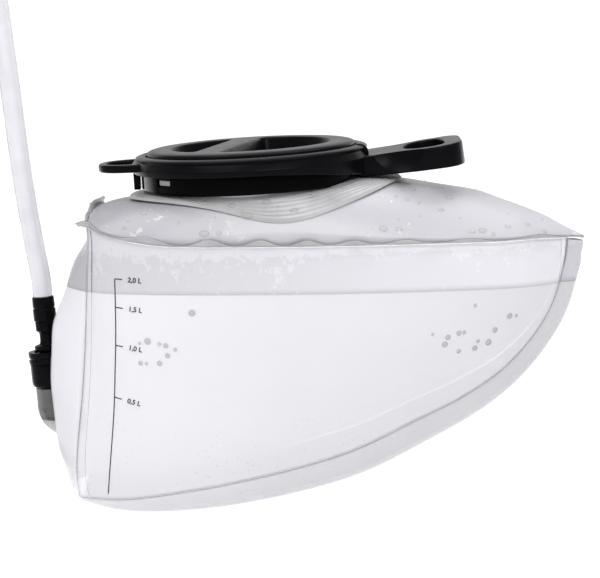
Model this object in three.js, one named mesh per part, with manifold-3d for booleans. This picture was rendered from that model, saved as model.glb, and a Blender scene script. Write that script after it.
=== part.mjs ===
// Hydration bladder: a soft translucent film body with a wide twist-off fill cap, a handle,
// and a drinking hose on a quick-release outlet. Millimetres, +Z up, +X towards the nose,
// -Y the printed side.
import * as THREE from 'three';
import { mergeVertices } from 'three/addons/utils/BufferGeometryUtils.js';
import Module from 'manifold-3d';

const wasm = await Module();
wasm.setup();

// ---------------------------------------------------------------- driving dimensions
// The shapes are laid out in the bladder's own frame: X = 0 near mid-length, Y = 0 the
// centre plane, Z = 0 just under the surface of a full load. A last shift puts the origin
// on the handle's pad.
const GAP = 0.3; // clearance kept between parts that touch
const FILM = 0.8; // film thickness as modelled

const PAD = { x: 42, z: 70.7, slope: 8.8 }; // centre and slope of the handle's flat pad
const CLOSURE = { x: -24.9, z: 73.7, tilt: 3.4 }; // centre of the cap's top, and its tilt

const CAP_R = 52.5;
const CAP_EDGE = 3.8; // thickness of the cap's rim
const PLUG_R = 45.5; // the cap's inner skirt
const PLUG_DEPTH = 15;
const POCKET_R = 40; // finger pockets
const POCKET_DEPTH = 9;
const GRIP_BAR = 15; // width of the bar between the finger pockets
const GRIP_TURN = 75; // direction of the bar, degrees from +X
const GRIP_SHIFT = 13; // how far the bar lies off the cap's centre
const POCKET_WALL = 1.8;

const RING_R = 58.6; // handle ring
const COLLAR_R = 56; // gloss collar under the handle ring
const COLLAR_FOOT = -20.5; // its lower edge, below the cap's top
const COLLAR_TOP = -11.2;
const COLLAR_BORE = 52;
const NECK_R = 47; // bore of the neck
const NECK_WALL = 3;

const FLANGE = { x: -17.5, half: 68.8, side: 54, thick: 1.6, clear: 1 }; // welded neck flange
const RIDGE = 0.35; // height of the flange's concentric ridges
const LUG = { count: 3, start: 219, low: -15.5, high: -12.7, span: 9 }; // snap lugs in their windows

const PORT = { x: -114.2, z: -67.5 }; // outlet through the rear film
const PORT_HOLE = 7.2;
const ELBOW = { r: 8.5, bore: 3.6, bend: 9 };
const AXIS = { x: -126.2, z: -50, lean: 5.5 }; // foot and lean of the connector's axis

const HOSE_R = 5;
const COIL = { x: -224, y: 0, r: 50 }; // one and a half turns, one on the other
const FLOOR = -116.2; // level that the coil lies on, just below the belly

// Side outline of the film body, (x, z), along the seams.
const REAR_SEAM = [[-110.5, -101.5], [-111.6, -88], [-110.6, -72], [-108, -48], [-106.3, -25],
  [-105.5, -8], [-104.8, 15], [-104.2, 28], [-104.5, 38]];
const BELLY_SEAM = [[-110.5, -101.5], [-97, -102.2], [-83, -101.6], [-64, -98.9], [-35, -93.7],
  [0, -85.4], [28.5, -76.3], [57, -62.8], [81.3, -51], [101.8, -37.6], [117, -22], [127, -6], [132.6, 12]];
const TOP_SEAM = [[-104.5, 38], [-95.9, 34], [-76.4, 30.3], [-58, 29], [-20, 28.8], [20, 28.8],
  [60, 28.9], [100, 28.9], [120, 29], [134.7, 28]];
const NOSE_SEAM = [[132.6, 12], [134, 20], [134.7, 28]];

// Half widths along the same seams, from the start of each to its end.
const REAR_WIDTH = [30, 36, 40, 43, 44.5, 45.5, 46.5, 47];
const BELLY_WIDTH = [30, 33, 35.5, 36.5, 36, 34, 30, 25, 18, 12, 7.5];
const TOP_WIDTH = [47, 53, 57, 58.5, 58, 55, 49, 40, 29, 17, 6];
const NOSE_WIDTH = [7.5, 6];

// The gusset carries on round the nose, and the top panel reaches out to its tip.
const GUSSET_SEAM = [...BELLY_SEAM, [134.2, 20], [134.8, 26]];
const GUSSET_WIDTH = [...BELLY_WIDTH, 6.6, 5.8];
const TOP_OUTLINE = [...TOP_SEAM, [139.5, 27.6], [143.6, 27]];
const TOP_OUTLINE_WIDTH = [...TOP_WIDTH, 4.2, 1];

// How far the gusset stands out of the side outline.
const REAR_LOBES = [0, 1, 6, 13.5, 20, 22, 21, 17, 12, 7, 5];
const REAR_VALLEY = [0, 1, 3, 4, 4.5, 4, 3, 2, 2.5, 4, 5];
const BELLY_BULGE = [5, 9, 12, 15, 16.8, 17, 16, 14, 11.5, 9.8, 8.8, 8.4, 8.2];
const DOME_CREST = [[-104.5, 40], [-96, 43.2], [-80, 46.4], [-50, 50.2], [-10, 54.6], [30, 55.4],
  [51, 55.5], [84, 51], [101, 45.9], [121.4, 38.3], [131.6, 33], [138, 30], [143.6, 27.6]];
const SIDE_BULGE = 8; // how far the water pushes each side panel out

// ---------------------------------------------------------------- materials
const film = new THREE.MeshStandardMaterial({
  color: 0xe4e4e9, roughness: 0.3, metalness: 0, transparent: true, opacity: 0.6,
});
const flangeGrey = new THREE.MeshStandardMaterial({ color: 0xbfbec3, roughness: 0.4, metalness: 0 });
const blackMatte = new THREE.MeshStandardMaterial({ color: 0x1a191d, roughness: 0.55, metalness: 0 });
const blackGloss = new THREE.MeshStandardMaterial({ color: 0x0a0a0c, roughness: 0.15, metalness: 0 });
const silicone = new THREE.MeshStandardMaterial({ color: 0x4a4a50, roughness: 0.6, metalness: 0 });
const seal = new THREE.MeshStandardMaterial({ color: 0x151515, roughness: 0.5, metalness: 0 });
const elbowGrey = new THREE.MeshStandardMaterial({ color: 0xa9aaae, roughness: 0.4, metalness: 0 });
const steel = new THREE.MeshStandardMaterial({ color: 0xc8c8cc, roughness: 0.25, metalness: 1 });
const hoseClear = new THREE.MeshStandardMaterial({ color: 0xe6e4ec, roughness: 0.25, metalness: 0 });
const strap = new THREE.MeshStandardMaterial({ color: 0x202024, roughness: 0.8, metalness: 0 });

// ---------------------------------------------------------------- helpers
const rad = THREE.MathUtils.degToRad;
const bladder = new THREE.Group();

function bare(geometry) {
  const copy = geometry.clone();
  copy.deleteAttribute('normal');
  copy.deleteAttribute('uv');
  return mergeVertices(copy, 1e-4);
}

function toSolid(geometry) {
  const merged = bare(geometry);
  const vertProperties = new Float32Array(merged.attributes.position.array);
  const triVerts = new Uint32Array(merged.index.array);
  return new wasm.Manifold(new wasm.Mesh({ numProp: 3, vertProperties, triVerts }));
}

function toGeometry(manifold) {
  const mesh = manifold.getMesh();
  const geometry = new THREE.BufferGeometry();
  geometry.setAttribute('position', new THREE.BufferAttribute(new Float32Array(mesh.vertProperties), 3));
  geometry.setIndex(new THREE.BufferAttribute(new Uint32Array(mesh.triVerts), 1));
  return geometry;
}

function add(parent, name, geometry, material) {
  const mesh = new THREE.Mesh(geometry, material);
  mesh.name = name;
  parent.add(mesh);
  return mesh;
}

function spline(points) {
  return new THREE.SplineCurve(points.map(([x, y]) => new THREE.Vector2(x, y)));
}

// A value read along a list of evenly spaced stations, t from 0 to 1.
function profile(values) {
  const curve = spline(values.map((value, i) => [i, value]));
  return (t) => curve.getPoint(t).y;
}

function smooth(low, high, value) {
  return THREE.MathUtils.smoothstep(value, low, high);
}

// A closed sheet between two surfaces of the same (u, v) grid.
function sheet(outer, inner, nu, nv) {
  const positions = [];
  const index = [];
  const row = nv + 1;
  const layer = (nu + 1) * row;
  for (const surface of [outer, inner]) {
    for (let i = 0; i <= nu; i++) {
      for (let j = 0; j <= nv; j++) positions.push(...surface(i / nu, j / nv));
    }
  }
  const quad = (a, b, c, d) => index.push(a, b, c, a, c, d);
  const at = (side, i, j) => side * layer + i * row + j;
  for (let i = 0; i < nu; i++) {
    for (let j = 0; j < nv; j++) {
      quad(at(0, i, j), at(0, i + 1, j), at(0, i + 1, j + 1), at(0, i, j + 1));
      quad(at(1, i, j), at(1, i, j + 1), at(1, i + 1, j + 1), at(1, i + 1, j));
    }
  }
  for (let i = 0; i < nu; i++) {
    quad(at(0, i, 0), at(1, i, 0), at(1, i + 1, 0), at(0, i + 1, 0));
    quad(at(0, i + 1, nv), at(1, i + 1, nv), at(1, i, nv), at(0, i, nv));
  }
  for (let j = 0; j < nv; j++) {
    quad(at(0, 0, j + 1), at(1, 0, j + 1), at(1, 0, j), at(0, 0, j));
    quad(at(0, nu, j), at(1, nu, j), at(1, nu, j + 1), at(0, nu, j + 1));
  }
  const geometry = new THREE.BufferGeometry();
  geometry.setAttribute('position', new THREE.Float32BufferAttribute(positions, 3));
  geometry.setIndex(index);
  if (signedVolume(geometry) < 0) flip(geometry);
  return geometry;
}

function signedVolume(geometry) {
  const p = geometry.attributes.position;
  const corner = [new THREE.Vector3(), new THREE.Vector3(), new THREE.Vector3()];
  let total = 0;
  for (let i = 0; i < geometry.index.count; i += 3) {
    corner.forEach((v, k) => v.fromBufferAttribute(p, geometry.index.getX(i + k)));
    total += corner[0].dot(corner[1].clone().cross(corner[2])) / 6;
  }
  return total;
}

function flip(geometry) {
  const a = geometry.index.array;
  for (let i = 0; i < a.length; i += 3) [a[i], a[i + 1]] = [a[i + 1], a[i]];
}

// Solid of revolution about Z from a closed (radius, z) outline.
function turned(outline, segments) {
  const closed = [...outline, outline[0]].map(([r, z]) => new THREE.Vector2(r, z));
  const geometry = new THREE.LatheGeometry(closed, segments);
  geometry.rotateX(Math.PI / 2);
  const merged = bare(geometry);
  if (signedVolume(merged) < 0) flip(merged);
  return merged;
}

function ring(inner, outer, low, high, segments) {
  return turned([[inner, low], [outer, low], [outer, high], [inner, high]], segments);
}

function disc(radius, low, high, segments) {
  return new THREE.CylinderGeometry(radius, radius, high - low, segments)
    .rotateX(Math.PI / 2).translate(0, 0, (low + high) / 2);
}

function box(size, centre) {
  return new THREE.BoxGeometry(...size).translate(...centre);
}

function prism(shape, low, high, curveSegments = 5) {
  return new THREE.ExtrudeGeometry(shape, { depth: high - low, bevelEnabled: false, curveSegments })
    .translate(0, 0, low);
}

function tube(path, radius, steps, sides) {
  const section = new THREE.Shape(Array.from({ length: sides }, (_, i) => {
    const a = (i / sides) * 2 * Math.PI;
    return new THREE.Vector2(radius * Math.cos(a), radius * Math.sin(a));
  }));
  return new THREE.ExtrudeGeometry(section, { steps, extrudePath: path, bevelEnabled: false });
}

// ---------------------------------------------------------------- film body
const rearSeam = spline(REAR_SEAM);
const bellySeam = spline(BELLY_SEAM);
const gussetSeam = spline(GUSSET_SEAM);
const topOutline = spline(TOP_OUTLINE);
const topSeam = spline(TOP_SEAM);
const noseSeam = spline(NOSE_SEAM);
const rearWidth = profile(REAR_WIDTH);
const bellyWidth = profile(BELLY_WIDTH);
const gussetWidth = profile(GUSSET_WIDTH);
const topWidth = profile(TOP_WIDTH);
const topOutlineWidth = profile(TOP_OUTLINE_WIDTH);
const noseWidth = profile(NOSE_WIDTH);

const rearEdge = (t) => new THREE.Vector3(rearSeam.getPoint(t).x, rearWidth(t), rearSeam.getPoint(t).y);
const bellyEdge = (t) => new THREE.Vector3(bellySeam.getPoint(t).x, bellyWidth(t), bellySeam.getPoint(t).y);
const topEdge = (t) => new THREE.Vector3(topSeam.getPoint(t).x, topWidth(t), topSeam.getPoint(t).y);
const noseEdge = (t) => new THREE.Vector3(noseSeam.getPoint(t).x, noseWidth(t), noseSeam.getPoint(t).y);

// Side panel surface: a patch stretched between its four edges, pushed out in the middle.
function sidePoint(u, v) {
  const point = bellyEdge(u).multiplyScalar(1 - v).addScaledVector(topEdge(u), v);
  point.addScaledVector(rearEdge(v), 1 - u).addScaledVector(noseEdge(v), u);
  point.addScaledVector(bellyEdge(0), -(1 - u) * (1 - v)).addScaledVector(topEdge(0), -(1 - u) * v);
  point.addScaledVector(bellyEdge(1), -u * (1 - v)).addScaledVector(topEdge(1), -u * v);
  point.y += SIDE_BULGE * Math.sin(Math.PI * Math.min(v * 1.1, 1)) * Math.sin(Math.PI * u) ** 0.7;
  return point;
}

function sidePanel(side) {
  const inset = (t) => 0.006 + 0.988 * t;
  const surface = (offset) => (u, v) => {
    const p = sidePoint(inset(u), inset(v));
    return [p.x, side * (p.y - offset), p.z];
  };
  return sheet(surface(0), surface(FILM), 18, 7);
}

// Gusset: from the side outline outwards, s from -1 to 1 across the body.
function gussetPoint(curve, width, lobes, valley, t, s, offset) {
  const p = curve.getPoint(t);
  const tangent = curve.getTangent(t);
  const arch = 1 - Math.abs(s) ** 2.6;
  const away = smooth(0.3, 0.52, Math.abs(s));
  const out = GAP + offset + arch * (valley(t) + (lobes(t) - valley(t)) * away);
  return [p.x + tangent.y * out, s * width(t), p.y - tangent.x * out];
}

// The rear seam is followed downwards here, so that both gussets bulge outwards.
function rearPanel() {
  const down = spline([...REAR_SEAM].reverse());
  const width = (t) => rearWidth(1 - t) - GAP;
  const lobes = profile(REAR_LOBES);
  const valley = profile(REAR_VALLEY);
  const point = (offset) => (u, v) => gussetPoint(down, width, lobes, valley, 0.97 * u, 2 * v - 1, offset);
  const hole = disc(PORT_HOLE, -10, 10, 20).rotateY(Math.PI / 2).translate(PORT.x, 0, PORT.z);
  return toGeometry(toSolid(sheet(point(FILM), point(0), 12, 14)).subtract(toSolid(hole)));
}

function bellyPanel() {
  const bulge = profile(BELLY_BULGE);
  const width = (t) => gussetWidth(t) - GAP;
  const point = (offset) => (u, v) => gussetPoint(gussetSeam, width, bulge, bulge, u, 2 * v - 1, offset);
  return sheet(point(FILM), point(0), 24, 8);
}

const domeCrest = spline(DOME_CREST);

// Height of the top panel at plan position (x, y).
function domeHeight(x, y) {
  const edge = nearest(topOutline, x);
  const half = topOutlineWidth(edge.t);
  const crest = nearest(domeCrest, x).y;
  const across = Math.min(Math.abs(y) / half, 1);
  const fullness = 2.4 + 6.6 * Math.exp(-(((x - FLANGE.x) / 52) ** 2));
  return edge.y + (crest - edge.y) * (1 - across ** fullness);
}

// The point of a curve that runs steadily along x, at a given x.
function nearest(curve, x) {
  let [low, high] = [0, 1];
  for (let i = 0; i < 30; i++) {
    const t = (low + high) / 2;
    if (curve.getPoint(t).x < x) low = t;
    else high = t;
  }
  return { t: low, y: curve.getPoint(low).y };
}

function topPanel() {
  const surface = (offset) => (u, v) => {
    const edge = topOutline.getPoint(u);
    const y = (2 * v - 1) * (topOutlineWidth(u) - 0.5);
    return [edge.x, y, domeHeight(edge.x, y) + GAP + offset];
  };
  const panel = toSolid(sheet(surface(FILM), surface(0), 22, 10));
  const mouth = closureSolid(disc(NECK_R + NECK_WALL + 0.6, -60, 0, 32));
  return toGeometry(panel.subtract(mouth));
}

// ---------------------------------------------------------------- closure
const closure = new THREE.Group();
closure.position.set(CLOSURE.x, 0, CLOSURE.z);
closure.rotation.y = -rad(CLOSURE.tilt);
closure.updateMatrixWorld(true);
bladder.add(closure);

function closureSolid(geometry) {
  return toSolid(geometry.clone().applyMatrix4(closure.matrix));
}

function lugBox(grow, inner, outer) {
  return Array.from({ length: LUG.count }, (_, i) => {
    const size = [outer - inner, LUG.span + 2 * grow, LUG.high - LUG.low + 2 * grow];
    const centre = [(inner + outer) / 2, 0, (LUG.low + LUG.high) / 2];
    return box(size, centre).rotateZ(rad(LUG.start + (i * 360) / LUG.count));
  });
}

// Neck and welded flange: an oval skirt that follows the dome, carrying the round neck.
function neckFlange() {
  const surface = (top) => (u, v) => {
    const [x, y] = flangePlan(u, v, NECK_R + 1);
    const ridge = Math.round(u * 5) % 2 ? RIDGE : 0;
    return [x, y, flangeSeat(x, y, u) + (top ? FLANGE.thick * (1 - 0.5 * u) + ridge : 0)];
  };
  const skirt = toSolid(wrapped(surface, 5, 36));
  let neck = toSolid(ring(NECK_R, NECK_R + NECK_WALL, COLLAR_FOOT - 2, -9, 36));
  for (const lug of lugBox(0, NECK_R + NECK_WALL - 0.5, COLLAR_R - 0.8)) {
    neck = neck.add(toSolid(lug));
  }
  return toGeometry(skirt.add(neck.transform(closure.matrix.elements)));
}

// Plan of the flange: u from the neck to the oval rim, v once round.
function flangePlan(u, v, inner) {
  const a = 2 * Math.PI * v;
  const nearX = CLOSURE.x + 1 + inner * Math.cos(a);
  const x = THREE.MathUtils.lerp(nearX, FLANGE.x + FLANGE.half * Math.cos(a), u);
  const y = THREE.MathUtils.lerp(inner, FLANGE.side, u) * Math.sin(a);
  return [x, y];
}

// Underside of the flange: level with the collar's foot at the neck, on the film at the rim.
function flangeSeat(x, y, u) {
  const foot = CLOSURE.z + COLLAR_FOOT - 1.5 + (x - CLOSURE.x) * Math.tan(rad(CLOSURE.tilt));
  const onFilm = domeHeight(x, y) + FILM + FLANGE.clear;
  return Math.max(onFilm, THREE.MathUtils.lerp(foot, onFilm, smooth(0, 0.9, u)));
}

// A sheet that closes on itself in v.
function wrapped(surface, nu, nv) {
  const geometry = bare(sheet(surface(true), surface(false), nu, nv));
  const index = Array.from(geometry.index.array);
  const faces = new Map();
  for (let i = 0; i < index.length; i += 3) {
    const face = index.slice(i, i + 3);
    if (new Set(face).size < 3) continue;
    const key = [...face].sort((a, b) => a - b).join();
    if (faces.has(key)) faces.delete(key);
    else faces.set(key, face);
  }
  geometry.setIndex([...faces.values()].flat());
  return geometry;
}

function neckCollar() {
  const outline = [[COLLAR_BORE, COLLAR_FOOT], [COLLAR_R - 0.6, COLLAR_FOOT], [COLLAR_R, COLLAR_FOOT + 0.6],
    [COLLAR_R, COLLAR_TOP], [COLLAR_BORE, COLLAR_TOP]];
  let collar = toSolid(turned(outline, 40));
  for (const window of lugBox(GAP, NECK_R + NECK_WALL, COLLAR_R + 2)) {
    collar = collar.subtract(toSolid(window));
  }
  return toGeometry(collar.subtract(neckRoom()));
}

// Space that the flange takes under the collar, so the collar's foot follows it.
function neckRoom() {
  const surface = (top) => (u, v) => {
    const [x, y] = flangePlan(u, v, NECK_R - 4);
    const height = flangeSeat(x, y, Math.max(0, 1.3 * u - 0.3));
    return [x, y, height + (top ? FLANGE.thick + RIDGE + GAP : -30)];
  };
  const toLocal = closure.matrix.clone().invert();
  return toSolid(wrapped(surface, 5, 36)).transform(toLocal.elements);
}

// Plan outline of the handle, in the pad's own frame: narrow at the root, wide at the end.
function handleShape() {
  const shape = new THREE.Shape();
  shape.moveTo(-26, -19);
  shape.bezierCurveTo(-20, -19, -16, -19, -11, -20);
  shape.bezierCurveTo(0, -22.5, 8, -25, 15, -27);
  shape.bezierCurveTo(18, -27.5, 22, -27.5, 27, -27.5);
  shape.bezierCurveTo(36, -27.5, 39.5, -20, 39.5, -12);
  shape.lineTo(39.5, 12);
  shape.bezierCurveTo(39.5, 20, 36, 27.5, 27, 27.5);
  shape.bezierCurveTo(22, 27.5, 18, 27.5, 15, 27);
  shape.bezierCurveTo(8, 25, 0, 22.5, -11, 20);
  shape.bezierCurveTo(-16, 19, -20, 19, -26, 19);
  shape.closePath();
  return shape;
}

function fingerHole() {
  const shape = new THREE.Shape();
  shape.moveTo(10, -8);
  shape.bezierCurveTo(10, -16, 15, -20, 21.5, -20.5);
  shape.bezierCurveTo(28, -21, 31, -17, 31, -9);
  shape.lineTo(31, 9);
  shape.bezierCurveTo(31, 17, 28, 21, 21.5, 20.5);
  shape.bezierCurveTo(15, 20, 10, 16, 10, 8);
  shape.closePath();
  return shape;
}

// Ball that hollows one side wall of the handle between its root and its finger hole.
function scoop(side) {
  return new THREE.SphereGeometry(27, 32, 22).translate(1.8, side * 46.8, 4.5);
}

// Ring with the carrying handle towards the nose and a hang loop towards the rear. Its rim is cut
// square to the pad where they meet, so nothing leans over the pad's flat face.
function handleRing() {
  const outline = [[50.5, -10.9], [58.1, -10.9], [RING_R, -10.4], [RING_R, -4.2], [57.6, -3.3],
    [54.2, -2.6], [53.4, -4.6], [50.5, -4.6]];
  const padFrame = new THREE.Matrix4().makeRotationY(-rad(PAD.slope)).setPosition(PAD.x, 0, PAD.z);
  const local = closure.matrix.clone().invert().multiply(padFrame);
  const put = (geometry) => toSolid(geometry.clone().applyMatrix4(local));
  const bore = toSolid(disc(53, -40, 20, 40)).add(toSolid(disc(COLLAR_R + 0.5, -40, -10.9, 48)));
  let body = put(prism(handleShape(), -13.6, 0)).subtract(bore);
  body = body.subtract(put(box([90, 80, 10], [0, 0, -5]).rotateY(rad(1.15)).translate(0, 0, -10.6)));
  for (const side of [-1, 1]) body = body.subtract(put(scoop(side)));
  body = body.subtract(neckRoom());
  const loop = toSolid(prism(loopShape(19, 12.5), -9.4, -5.4)).subtract(bore);
  const tab = toSolid(box([3.2, 8, 6.6], [-(COLLAR_R + 2.2), 0, -14.2]));
  const fin = toSolid(box([3.6, 8, 5], [-(RING_R - 0.8), 0, -9.9]));
  const under = box([130, 130, 12], [0, 0, -6]).rotateY(rad(5.4)).translate(8, 0, -10.9);
  const skirt = toSolid(ring(COLLAR_R + 0.9, RING_R, -16.2, -10.8, 48)).subtract(toSolid(under));
  const nearPad = disc(RING_R - 0.1, -1, 14, 48).translate(CLOSURE.x - PAD.x, 0, 0);
  const overPad = put(prism(handleShape(), 0, 12)).subtract(put(nearPad));
  const rim = toSolid(turned(outline, 48)).subtract(overPad);
  const whole = rim.add(skirt).add(body).add(loop).add(tab).add(fin);
  const ringSide = bore.add(toSolid(disc(RING_R - 0.6, -30, 0, 48)));
  const loopHole = toSolid(prism(loopShape(14.6, 8.6), -20, 0)).subtract(ringSide);
  return toGeometry(whole.subtract(put(prism(fingerHole(), -30, 10))).subtract(loopHole));
}

// Half-round loop that reaches past the ring on the rear side.
function loopShape(halfWidth, reach) {
  const shape = new THREE.Shape();
  const foot = -(RING_R - 8);
  const tip = -(RING_R + reach + 6.2);
  shape.moveTo(foot, -halfWidth);
  shape.lineTo(-(RING_R + 1), -halfWidth);
  shape.bezierCurveTo(tip + 3, -halfWidth * 0.85, tip, -halfWidth * 0.5, tip, 0);
  shape.bezierCurveTo(tip, halfWidth * 0.5, tip + 3, halfWidth * 0.85, -(RING_R + 1), halfWidth);
  shape.lineTo(foot, halfWidth);
  shape.closePath();
  return shape;
}

// One finger pocket: the part of the pocket circle on one side of the grip bar.
function pocketSolid(side, radius, depth, bar) {
  const round = toSolid(disc(radius, -depth, 5, 36));
  const half = toSolid(box([60, 120, 40], [side * (30 + bar / 2), 0, 0])
    .rotateZ(rad(GRIP_TURN - 90)).translate(-GRIP_SHIFT, 0, 0));
  return round.intersect(half);
}

function cap() {
  const rim = [[0, -CAP_EDGE], [51.3, -CAP_EDGE], [CAP_R, -CAP_EDGE + 1.2], [CAP_R, -1.4], [51.3, -0.3],
    [49.5, 0], [0, 0]];
  const points = rim.map(([r, z]) => new THREE.Vector2(r, z));
  const plate = toSolid(new THREE.LatheGeometry(points, 48).rotateX(Math.PI / 2));
  let body = plate.add(toSolid(ring(PLUG_R - 2.6, PLUG_R, -PLUG_DEPTH, -CAP_EDGE + 0.5, 40)));
  const below = toSolid(disc(CAP_R + 5, -20, -0.5, 24));
  for (const side of [-1, 1]) {
    const size = [POCKET_R + POCKET_WALL, POCKET_DEPTH + POCKET_WALL, GRIP_BAR - 2 * POCKET_WALL];
    body = body.add(pocketSolid(side, ...size).intersect(below));
  }
  for (const side of [-1, 1]) {
    body = body.subtract(pocketSolid(side, POCKET_R, POCKET_DEPTH, GRIP_BAR));
  }
  const groove = toSolid(ring(PLUG_R - 0.9, PLUG_R + 2, -12.4, -9.2, 40));
  return toGeometry(body.subtract(groove));
}

function buildClosure() {
  const gasketIn = PLUG_R - 0.9 + GAP;
  const lip = NECK_R - 0.6;
  const gasket = turned([[gasketIn, -12.1], [lip, -12.1], [NECK_R - GAP, -10.8], [lip, -9.5],
    [gasketIn, -9.5]], 40);
  add(bladder, 'neck_flange', neckFlange(), flangeGrey);
  add(closure, 'neck_collar', neckCollar(), blackGloss);
  add(closure, 'handle_ring', handleRing(), blackMatte);
  add(closure, 'fill_cap', cap(), blackMatte);
  add(closure, 'cap_gasket', gasket, silicone);
}

// ---------------------------------------------------------------- outlet and quick release
const fitting = new THREE.Group();
fitting.position.set(AXIS.x, 0, AXIS.z);
fitting.rotation.y = -rad(AXIS.lean);
fitting.updateMatrixWorld(true);
bladder.add(fitting);

const SOCKET = { r: 10, sleeve: 7.1, bore: 5.2, low: 0.3, shoulder: 12.3, high: 17.6 };
const PLUG_BORE = 2.3;

function buildOutlet() {
  const flange = turned([[5.2, -1.9], [10.5, -1.9], [10.5, -0.8], [6.8, -0.8], [6.8, 4], [5.2, 4]], 20);
  add(bladder, 'port_flange', flange.rotateY(Math.PI / 2).translate(PORT.x, 0, PORT.z), flangeGrey);
  add(bladder, 'outlet_elbow', elbow(), elbowGrey);
}

// The elbow's centre line: out of the port along -X, then up the fitting's axis.
function elbowPath(first, last) {
  const lean = rad(AXIS.lean);
  const sweep = Math.PI / 2 + lean;
  const rise = (AXIS.z - PORT.z) - ELBOW.bend * (1 - Math.cos(sweep));
  const middle = AXIS.x + rise * Math.tan(lean) + ELBOW.bend * Math.sin(sweep);
  const centre = new THREE.Vector3(middle, 0, PORT.z + ELBOW.bend);
  class Bend extends THREE.Curve {
    getPoint(t, target = new THREE.Vector3()) {
      const a = sweep * t;
      return target.set(centre.x - ELBOW.bend * Math.sin(a), 0, centre.z - ELBOW.bend * Math.cos(a));
    }
  }
  const bend = new Bend();
  const up = new THREE.Vector3(-Math.sin(lean), 0, Math.cos(lean));
  const path = new THREE.CurvePath();
  path.add(new THREE.LineCurve3(new THREE.Vector3(first, 0, PORT.z), bend.getPoint(0)));
  path.add(bend);
  const end = new THREE.Vector3(AXIS.x, 0, AXIS.z).addScaledVector(up, last);
  path.add(new THREE.LineCurve3(bend.getPoint(1), end));
  return path;
}

function elbow() {
  const outer = toSolid(tube(elbowPath(PORT.x - 2.2, 0), ELBOW.r, 10, 16));
  const bore = toSolid(tube(elbowPath(PORT.x + 3, 3), ELBOW.bore, 12, 10));
  return toGeometry(outer.subtract(bore));
}

function buildSocket() {
  const s = SOCKET;
  const body = [[3.2, s.low], [8.6, s.low], [s.r, 2.2], [s.r, s.shoulder], [s.sleeve, s.shoulder],
    [s.sleeve, s.high], [s.bore, s.high], [s.bore, 3.0], [3.2, 3.0]];
  add(fitting, 'socket_body', turned(body, 20), blackMatte);
  const collar = [[7.5, 12.6], [10.4, 12.6], [10.4, 14.6], [9.9, 15.2], [10.4, 15.8], [10.4, 18.6],
    [7.5, 18.6], [7.5, 17.6], [8.7, 17.6], [8.7, 13.4], [7.5, 13.4]];
  add(fitting, 'release_collar', turned(collar, 20), blackMatte);
  add(fitting, 'release_spring', helix(8, 0.3, 14.1, 16.9, 2.5), steel);
  add(fitting, 'shutoff_poppet', turned([[0, 4.4], [3.6, 4.4], [4.3, 5.2], [4.3, 6.2], [1.6, 6.2], [1.6, 7.4],
    [0, 7.4]], 14), silicone);
  add(fitting, 'poppet_spring', helix(4.35, 0.25, 3.6, 3.9, 0.9), steel);
}

// Coil spring about the local axis.
function helix(radius, wire, low, high, turns) {
  class Coil extends THREE.Curve {
    getPoint(t, target = new THREE.Vector3()) {
      const a = 2 * Math.PI * turns * t;
      return target.set(radius * Math.cos(a), radius * Math.sin(a), low + (high - low) * t);
    }
  }
  return tube(new Coil(), wire, Math.round(12 * turns), 5);
}

function buildPlug() {
  const outline = [[PLUG_BORE, 7.9], [4.4, 7.9], [4.7, 8.3], [4.7, 10.2], [3.8, 10.2], [3.8, 12.2],
    [4.8, 12.2], [4.8, 18.9], [6.9, 19.4], [6.9, 21.4], [3.9, 22.2], [3.7, 28.6], [5.3, 29.2],
    [5.3, 33.9], [PLUG_BORE, 33.9]];
  add(fitting, 'hose_plug', turned(outline, 18), blackMatte);
  add(fitting, 'plug_o_ring', ring(4.15, 4.85, 10.5, 11.9, 18), seal);
  const cuff = [[PLUG_BORE, 34.2], [5.8, 34.2], [5.8, 40.2], [5.5, 40.8], [5.7, 41.4], [5.6, 46.4],
    [PLUG_BORE, 46.4]];
  add(fitting, 'hose_cuff', turned(cuff, 18), blackMatte);
}

// ---------------------------------------------------------------- hose
const HOSE_START = 46.7; // where the hose leaves the cuff, along the fitting's axis
const COIL_LOW = FLOOR + 1.5 + HOSE_R; // centre heights of the coil's two turns
const COIL_TOP = COIL_LOW + 2 * HOSE_R;
const TUBE_STOP = 33.5; // the straight run ends this far before it meets the coil

// Route from the cuff: up past the bladder, over an arch, and down to the coil.
function hoseRoute() {
  const lean = rad(AXIS.lean);
  const start = [AXIS.x - HOSE_START * Math.sin(lean), 0, AXIS.z + HOSE_START * Math.cos(lean)];
  const left = COIL.x - COIL.r;
  const points = [start, [-131.4, 0, 5], [-133.1, 0, 15], [-135.2, 0, 26], [-138.4, 0, 45], [-141.3, 0, 65],
    [-143.9, 0, 86], [-146.3, 0, 106], [-148.9, 0, 126], [-151.6, 0, 146], [-155, 1, 164], [-163, 4, 184],
    [-177, 9, 201], [-197, 15, 211], [-219, 22, 210], [-239, 29, 199], [-254, 37, 180], [-262, 45, 158],
    [-266, 54, 134], [-268, 62, 108], [left, 70, 78], [left, 78, 46], [left, 84, 14], [left, 88, -16],
    [left, 90, -42], [left, 88, -62], [left, 79, -80], [left, 65, -92], [left, 49, COIL_TOP + 0.6],
    [left, TUBE_STOP, COIL_TOP]];
  return new THREE.CatmullRomCurve3(points.map((p) => new THREE.Vector3(...p)));
}

function buildHose() {
  add(bladder, 'hose_run', tube(hoseRoute(), HOSE_R, 36, 8), hoseClear);
  const low = COIL_LOW - HOSE_R;
  const high = COIL_TOP + HOSE_R;
  const coil = ring(COIL.r - HOSE_R, COIL.r + HOSE_R, low, high, 28).translate(COIL.x, COIL.y, 0);
  add(bladder, 'hose_coil', coil, hoseClear);
  add(bladder, 'coil_tie', coilTie(low, high), strap);
}

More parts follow.
